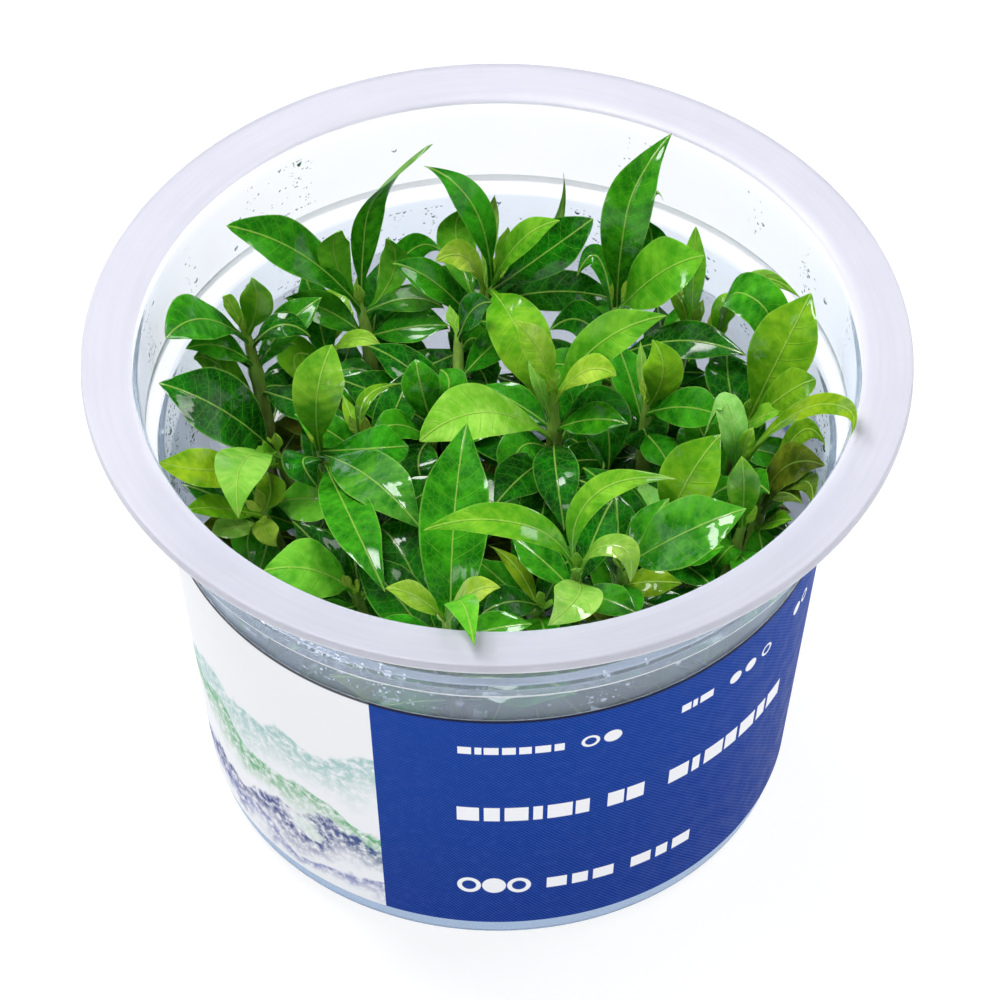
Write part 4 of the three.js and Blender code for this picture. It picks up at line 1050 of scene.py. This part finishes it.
def leaf_into(mesh, points, leaf, random_source, steps=LEAF_STEPS):
    """Adds one closed blade to the lists in mesh."""
    verts, faces, blade, light, dark, state = mesh
    rows = frames(points, leaf[2], leaf[3], steps)
    length = sum(np.linalg.norm(b[0] - a[0]) for a, b in zip(rows, rows[1:]))
    light_tone, dark_tone, wetness = TONES[leaf[5]]
    lightness = random_source.uniform(0.88, 1.14)
    warmth = np.array([random_source.uniform(0.75, 1.30), 1.0, random_source.uniform(0.7, 1.25)])
    light_tone, dark_tone = (np.array(tone) * (warmth * lightness) for tone in (light_tone, dark_tone))
    pairs = max(4.0, length / random_source.uniform(1.9, 2.5))
    phase = random_source.uniform(0, 2 * math.pi)
    waves = random_source.uniform(1.4, 2.6)
    curl = random_source.uniform(-0.04, 0.06)
    ring = len(LEAF_RING)
    start = len(verts)
    for i, (place, way, up, side) in enumerate(rows):
        t = i / steps
        half = max(half_width(leaf, t) * (1 - TIP_SHARPNESS * max(0.0, (t - 0.7) / 0.3)), 0.03)
        for a, face in LEAF_RING:
            out = abs(a)
            lift = (BLADE_FOLD + curl) * half * out ** 1.4
            beat = 2 * math.pi * waves * t + phase + (1.3 if a > 0 else 0)
            ripple = 0.07 * half * math.sin(beat) * out ** 2
            edge = math.sqrt(max(0.0, 1 - out ** 4))
            swell = math.exp(-(a * half / RIB_REACH) ** 2) * (1 - 0.7 * t)
            beyond_stalk = min(1, t / 0.2)
            if face > 0:
                groove = 0.10 * swell * (1 - beyond_stalk) - 0.05 * swell * beyond_stalk
                thick = (BLADE_SKIN + groove) * edge
            else:
                thick = -(BLADE_SKIN + RIB_BELOW * swell) * edge
            thick *= min(1.0, half / 0.25)
            verts.append(place + side * (half * a) + up * (lift + ripple + thick))
            blade.append((a, t * pairs, half))
            light.append(light_tone)
            dark.append(dark_tone)
            state.append((0.0 if face > 0 else 1.0, 0.45 * wetness, t))
    faces += ring_quads(start, steps + 1, ring, turned=True)
    faces.append([start + k for k in range(ring)])
    faces.append([start + steps * ring + k for k in range(ring - 1, -1, -1)])


STEM_SIDES, STEM_STEPS = 14, 44


def stem_into(mesh, shoot):
    """Adds one closed stem, swollen at the leaf joints, to the lists in mesh."""
    verts, faces, blade, light, dark, state = mesh
    sides, steps = STEM_SIDES, STEM_STEPS
    joints = [leaf[0] for leaf in shoot[3]]
    centres = [stem_point(shoot, k / steps) for k in range(steps + 1)]
    start = len(verts)
    for k, centre in enumerate(centres):
        s = k / steps
        way = unit(centres[min(k + 1, steps)] - centres[max(k - 1, 0)])
        side = unit(np.cross(way, np.array([0.0, 1.0, 0.0])))
        front = np.cross(side, way)
        radius = STEM_FOOT_RADIUS + (STEM_TOP_RADIUS - STEM_FOOT_RADIUS) * s
        swelling = sum(math.exp(-((s - j) / 0.022) ** 2) for j in joints)
        radius *= (0.86 + 0.14 * min(1.0, swelling)) * (1 - 0.5 * max(0.0, (s - 0.84) / 0.16))
        for m in range(sides):
            a = 2 * math.pi * m / sides
            rib = 1 + 0.05 * math.cos(4 * a)
            verts.append(centre + (side * math.cos(a) + front * math.sin(a)) * radius * rib)
            blade.append((0.0, 0.0, 0.0))
            share = min(1.0, s * 1.1)
            tone = np.array(STEM_FOOT_COLOUR) * (1 - share) + np.array(STEM_TOP_COLOUR) * share
            light.append(tone * 1.5)
            dark.append(tone * 0.8)
            state.append((0.0, 0.5, 1.0))
    faces += ring_quads(start, steps + 1, sides)
    faces.append([start + m for m in range(sides - 1, -1, -1)])
    faces.append([start + steps * sides + m for m in range(sides)])


BUD_ROOT = 0.99
BUD_WIDTH = 1.5
# Length along the stem and reach aside at a bud leaf's middle and tip
BUD_COURSE = [(1.5, 0.7), (3.2, 1.0)]


def bud(shoot, turn):
    """One of the two young leaves that close over the stem's tip."""
    below, tip = stem_point(shoot, 0.90), stem_point(shoot, BUD_ROOT)
    way = unit(tip - below)
    side = unit(np.cross(way, np.array([math.cos(turn), math.sin(turn), 0.0])))
    return [BUD_ROOT, BUD_WIDTH, 0, 0, 0, "young"], [tip] + [tip + way * a + side * b for a, b in BUD_COURSE]


def build_shoots():
    leaf_look, stem_look = leaf_surface(), stem_surface()
    for number, (shoot, rows) in enumerate(zip(SHOOTS, all_leaves())):
        source = random.Random(100 + number)
        mesh = ([], [], [], [], [], [])
        stem_into(mesh, shoot)
        stem_faces = len(mesh[1])
        for leaf, points in rows:
            leaf_into(mesh, points, leaf, source, LEAF_STEPS if leaf in shoot[3] else LOW_LEAF_STEPS)
        for turn in (number, number + math.pi):
            leaf, points = bud(shoot, turn)
            leaf_into(mesh, points, leaf, source, BUD_STEPS)
        verts, faces, blade, light, dark, state = mesh
        obj = mesh_object(shoot[0] + "_plant", verts, faces,
                          {"blade": blade, "light": light, "dark": dark, "state": state}, smooth_angle=70)
        put(obj, shoot[0], leaf_look)
        obj.data.materials.append(stem_look)
        for poly in obj.data.polygons:
            if poly.index < stem_faces:
                poly.material_index = 1


# Drops: radius up to which they are of few faces, usual, least added and largest radius of the mist,
# drops in a trail, and how far they stray from it in degrees and millimetres
FINE_DROP = 0.28
MIST_SIZE, MIST_LEAST, MIST_MOST = 0.085, 0.03, 0.42
TRAIL_DROPS = 12
TRAIL_ANGLE, TRAIL_RISE = 1.2, 2.6
FLAT_IN_NECK, FLAT_ON_WALL, FLAT_BIG = 0.30, 0.50, 0.55


def droplet_into(verts, faces, centre, normal, radius, flatness, drop):
    """A squashed half ball on a wall, drawn out downwards by drop."""
    down = np.array([0.0, 0.0, -1.0])
    down = unit(down - normal * np.dot(down, normal))
    side = np.cross(normal, down)
    sides, rings = (12, 4) if radius > FINE_DROP else (8, 2)
    start = len(verts)
    verts.append(centre + normal * radius * flatness)
    for j in range(1, rings + 1):
        b = math.pi / 2 * j / rings
        for k in range(sides):
            a = 2 * math.pi * k / sides
            reach = radius * math.sin(b)
            along = math.cos(a) * reach * (drop if math.cos(a) > 0 else 1.0)
            verts.append(centre + side * math.sin(a) * reach + down * along
                         + normal * radius * flatness * math.cos(b))
    verts.append(centre - normal * 0.02)
    for k in range(sides):
        faces.append([start, start + 1 + (k + 1) % sides, start + 1 + k])
    faces += ring_quads(start + 1, rings, sides)
    last = start + 1 + (rings - 1) * sides
    for k in range(sides):
        faces.append([last + k, last + (k + 1) % sides, len(verts) - 1])


# Where the condensation gathers: angle and its spread in degrees, lowest and highest, number of drops
MIST = [[-88, 22, 36, 51, 620], [-140, 30, 40, 51, 260], [84, 20, 36, 51, 420], [140, 34, 40, 51, 260],
        [180, 50, 44, 51, 260], [-125, 50, 55, 62.5, 170], [125, 50, 55, 62.5, 60], [0, 70, 45.5, 51, 90],
        [-35, 30, 53.5, 60, 60], [-30, 26, 45.6, 50.8, 260]]
# Larger drops: angle, height, radius
BIG_DROPS = [[-6.5, 47.2, 0.55], [9, 46.4, 0.3], [-15, 48.8, 0.32], [22, 49.2, 0.35], [-28, 48, 0.4],
             [-38, 49.5, 0.34], [-24, 55.4, 0.36], [-33, 54.6, 0.42], [-41, 56, 0.3], [-30, 56.4, 0.28],
             [-19, 54.9, 0.3], [33, 47.5, 0.34], [158, 57, 0.42], [-163, 59, 0.36],
             [-121, 56, 0.4], [112, 58.5, 0.45], [-95, 49, 0.5], [-84, 46.5, 0.45], [92, 48.2, 0.5],
             [100, 45.3, 0.42]]


def inner_radius(z):
    if z > LEDGE_TOP_HEIGHT:
        rise = (z - LEDGE_TOP_HEIGHT - 0.6) / 9.7
        return NECK_FOOT_INNER_RADIUS + (NECK_INNER_RADIUS - NECK_FOOT_INNER_RADIUS) * rise
    return body_radius(z) - WALL


def build_droplets():
    """Condensation on the inside of the neck and the upper wall."""
    source = random.Random(7)
    verts, faces = [], []

    def drop(degrees, z, size, length, flatness):
        angle = math.radians(degrees)
        normal = unit(np.array([-math.sin(angle), math.cos(angle), -0.08]))
        r = inner_radius(z)
        centre = np.array([r * math.sin(angle), -r * math.cos(angle), z])
        droplet_into(verts, faces, centre, normal, size, flatness, length)

    for middle, spread, low, high, count in MIST:
        trails = [(source.gauss(middle, spread / 2), source.uniform(low, high))
                  for _ in range(count // TRAIL_DROPS)]
        for _ in range(count):
            degrees, z = source.choice(trails)
            degrees += source.gauss(0.0, TRAIL_ANGLE)
            z = min(high, max(low, z + source.gauss(0.0, TRAIL_RISE)))
            size = min(MIST_MOST, MIST_SIZE * math.exp(source.gauss(0.0, 0.5)) + MIST_LEAST)
            flatness = FLAT_IN_NECK if z > LEDGE_TOP_HEIGHT else FLAT_ON_WALL
            drop(degrees, z, size, source.uniform(1.0, 2.2), flatness)
    for degrees, z, size in BIG_DROPS:
        drop(degrees, z, size, source.uniform(1.0, 1.4), FLAT_BIG)
    drops = mesh_object("condensation_drops", verts, faces)
    return put(drops, None, water())


# ---- stage, light and camera

# Soft lights: name, place in metres, side in metres, watts; all look at LIGHT_AIM
SOFTBOXES = [("key", (-0.42, 0.30, 0.70), 0.28, 3.15), ("fill", (0.50, 0.15, 0.70), 0.35, 2.2),
             ("front", (-0.20, -0.60, 0.75), 0.25, 0.72), ("top", (-0.16, 0.04, 0.86), 0.26, 3.4)]
LIGHT_AIM = (0.0, 0.0, 0.045)
# The surroundings are bright near the horizon and dim overhead
WORLD_FADE = {"From Min": 0.15, "From Max": 0.75, "To Min": 0.90, "To Max": 0.10}
FLOOR_HALF_SIDE, FLOOR_DROP, FLOOR_GLOW = 3, 0.0002, 0.84


def build_stage():
    floor = bpy.data.meshes.new("floor")
    far = FLOOR_HALF_SIDE
    floor.from_pydata([(-far, -far, 0), (far, -far, 0), (far, far, 0), (-far, far, 0)], [], [[0, 1, 2, 3]])
    plane = linked(bpy.data.objects.new("floor", floor))
    plane.location.z = -FLOOR_DROP
    look = Look("studio_floor")
    grain = look.noise(0.02, 2.0)
    look.set(colour=look.mix(grain, (0.26, 0.26, 0.265), (0.29, 0.29, 0.293)), roughness=0.9, specular=0.0)
    look.shader.inputs["Emission Color"].default_value = (1, 1, 1, 1)
    look.shader.inputs["Emission Strength"].default_value = FLOOR_GLOW
    floor.materials.append(look.material)

    world = bpy.data.worlds.new("studio")
    world.use_nodes = True
    tree = world.node_tree
    coords = tree.nodes.new("ShaderNodeTexCoord")
    split = tree.nodes.new("ShaderNodeSeparateXYZ")
    fade = tree.nodes.new("ShaderNodeMapRange")
    for key, value in WORLD_FADE.items():
        fade.inputs[key].default_value = value
    tree.links.new(coords.outputs["Generated"], split.inputs[0])
    tree.links.new(split.outputs[2], fade.inputs["Value"])
    tree.links.new(fade.outputs[0], tree.nodes["Background"].inputs["Strength"])
    tree.nodes["Background"].inputs["Color"].default_value = (0.96, 0.975, 1.0, 1)
    bpy.context.scene.world = world

    for name, place, size, power in SOFTBOXES:
        light = bpy.data.lights.new(name, "AREA")
        light.shape = "RECTANGLE"
        light.size, light.size_y = size, size
        light.energy = power
        obj = linked(bpy.data.objects.new(name, light))
        way = np.array(LIGHT_AIM) - np.array(place)
        yaw = math.atan2(way[0], -way[1])
        pitch = math.atan2(math.hypot(way[0], way[1]), -way[2])
        obj.rotation_euler = (pitch, 0.0, math.pi + yaw)
        obj.location = place


def build_camera():
    data = bpy.data.cameras.new("camera")
    data.lens = LENS
    data.sensor_width = 36.0
    data.clip_start = 0.5
    data.clip_end = 10.0
    camera = linked(bpy.data.objects.new("camera", data))
    camera.location = (AIM_X * MM, SIGHT_Y * MM, SIGHT_Z * MM)
    camera.rotation_euler = (math.pi / 2 - SIGHT_PITCH, 0.0, 0.0)
    bpy.context.scene.camera = camera
    bpy.context.scene.view_settings.view_transform = "Standard"


build_camera()
build_stage()
build_cup()
build_label()
build_gel()
build_shoots()
build_droplets()
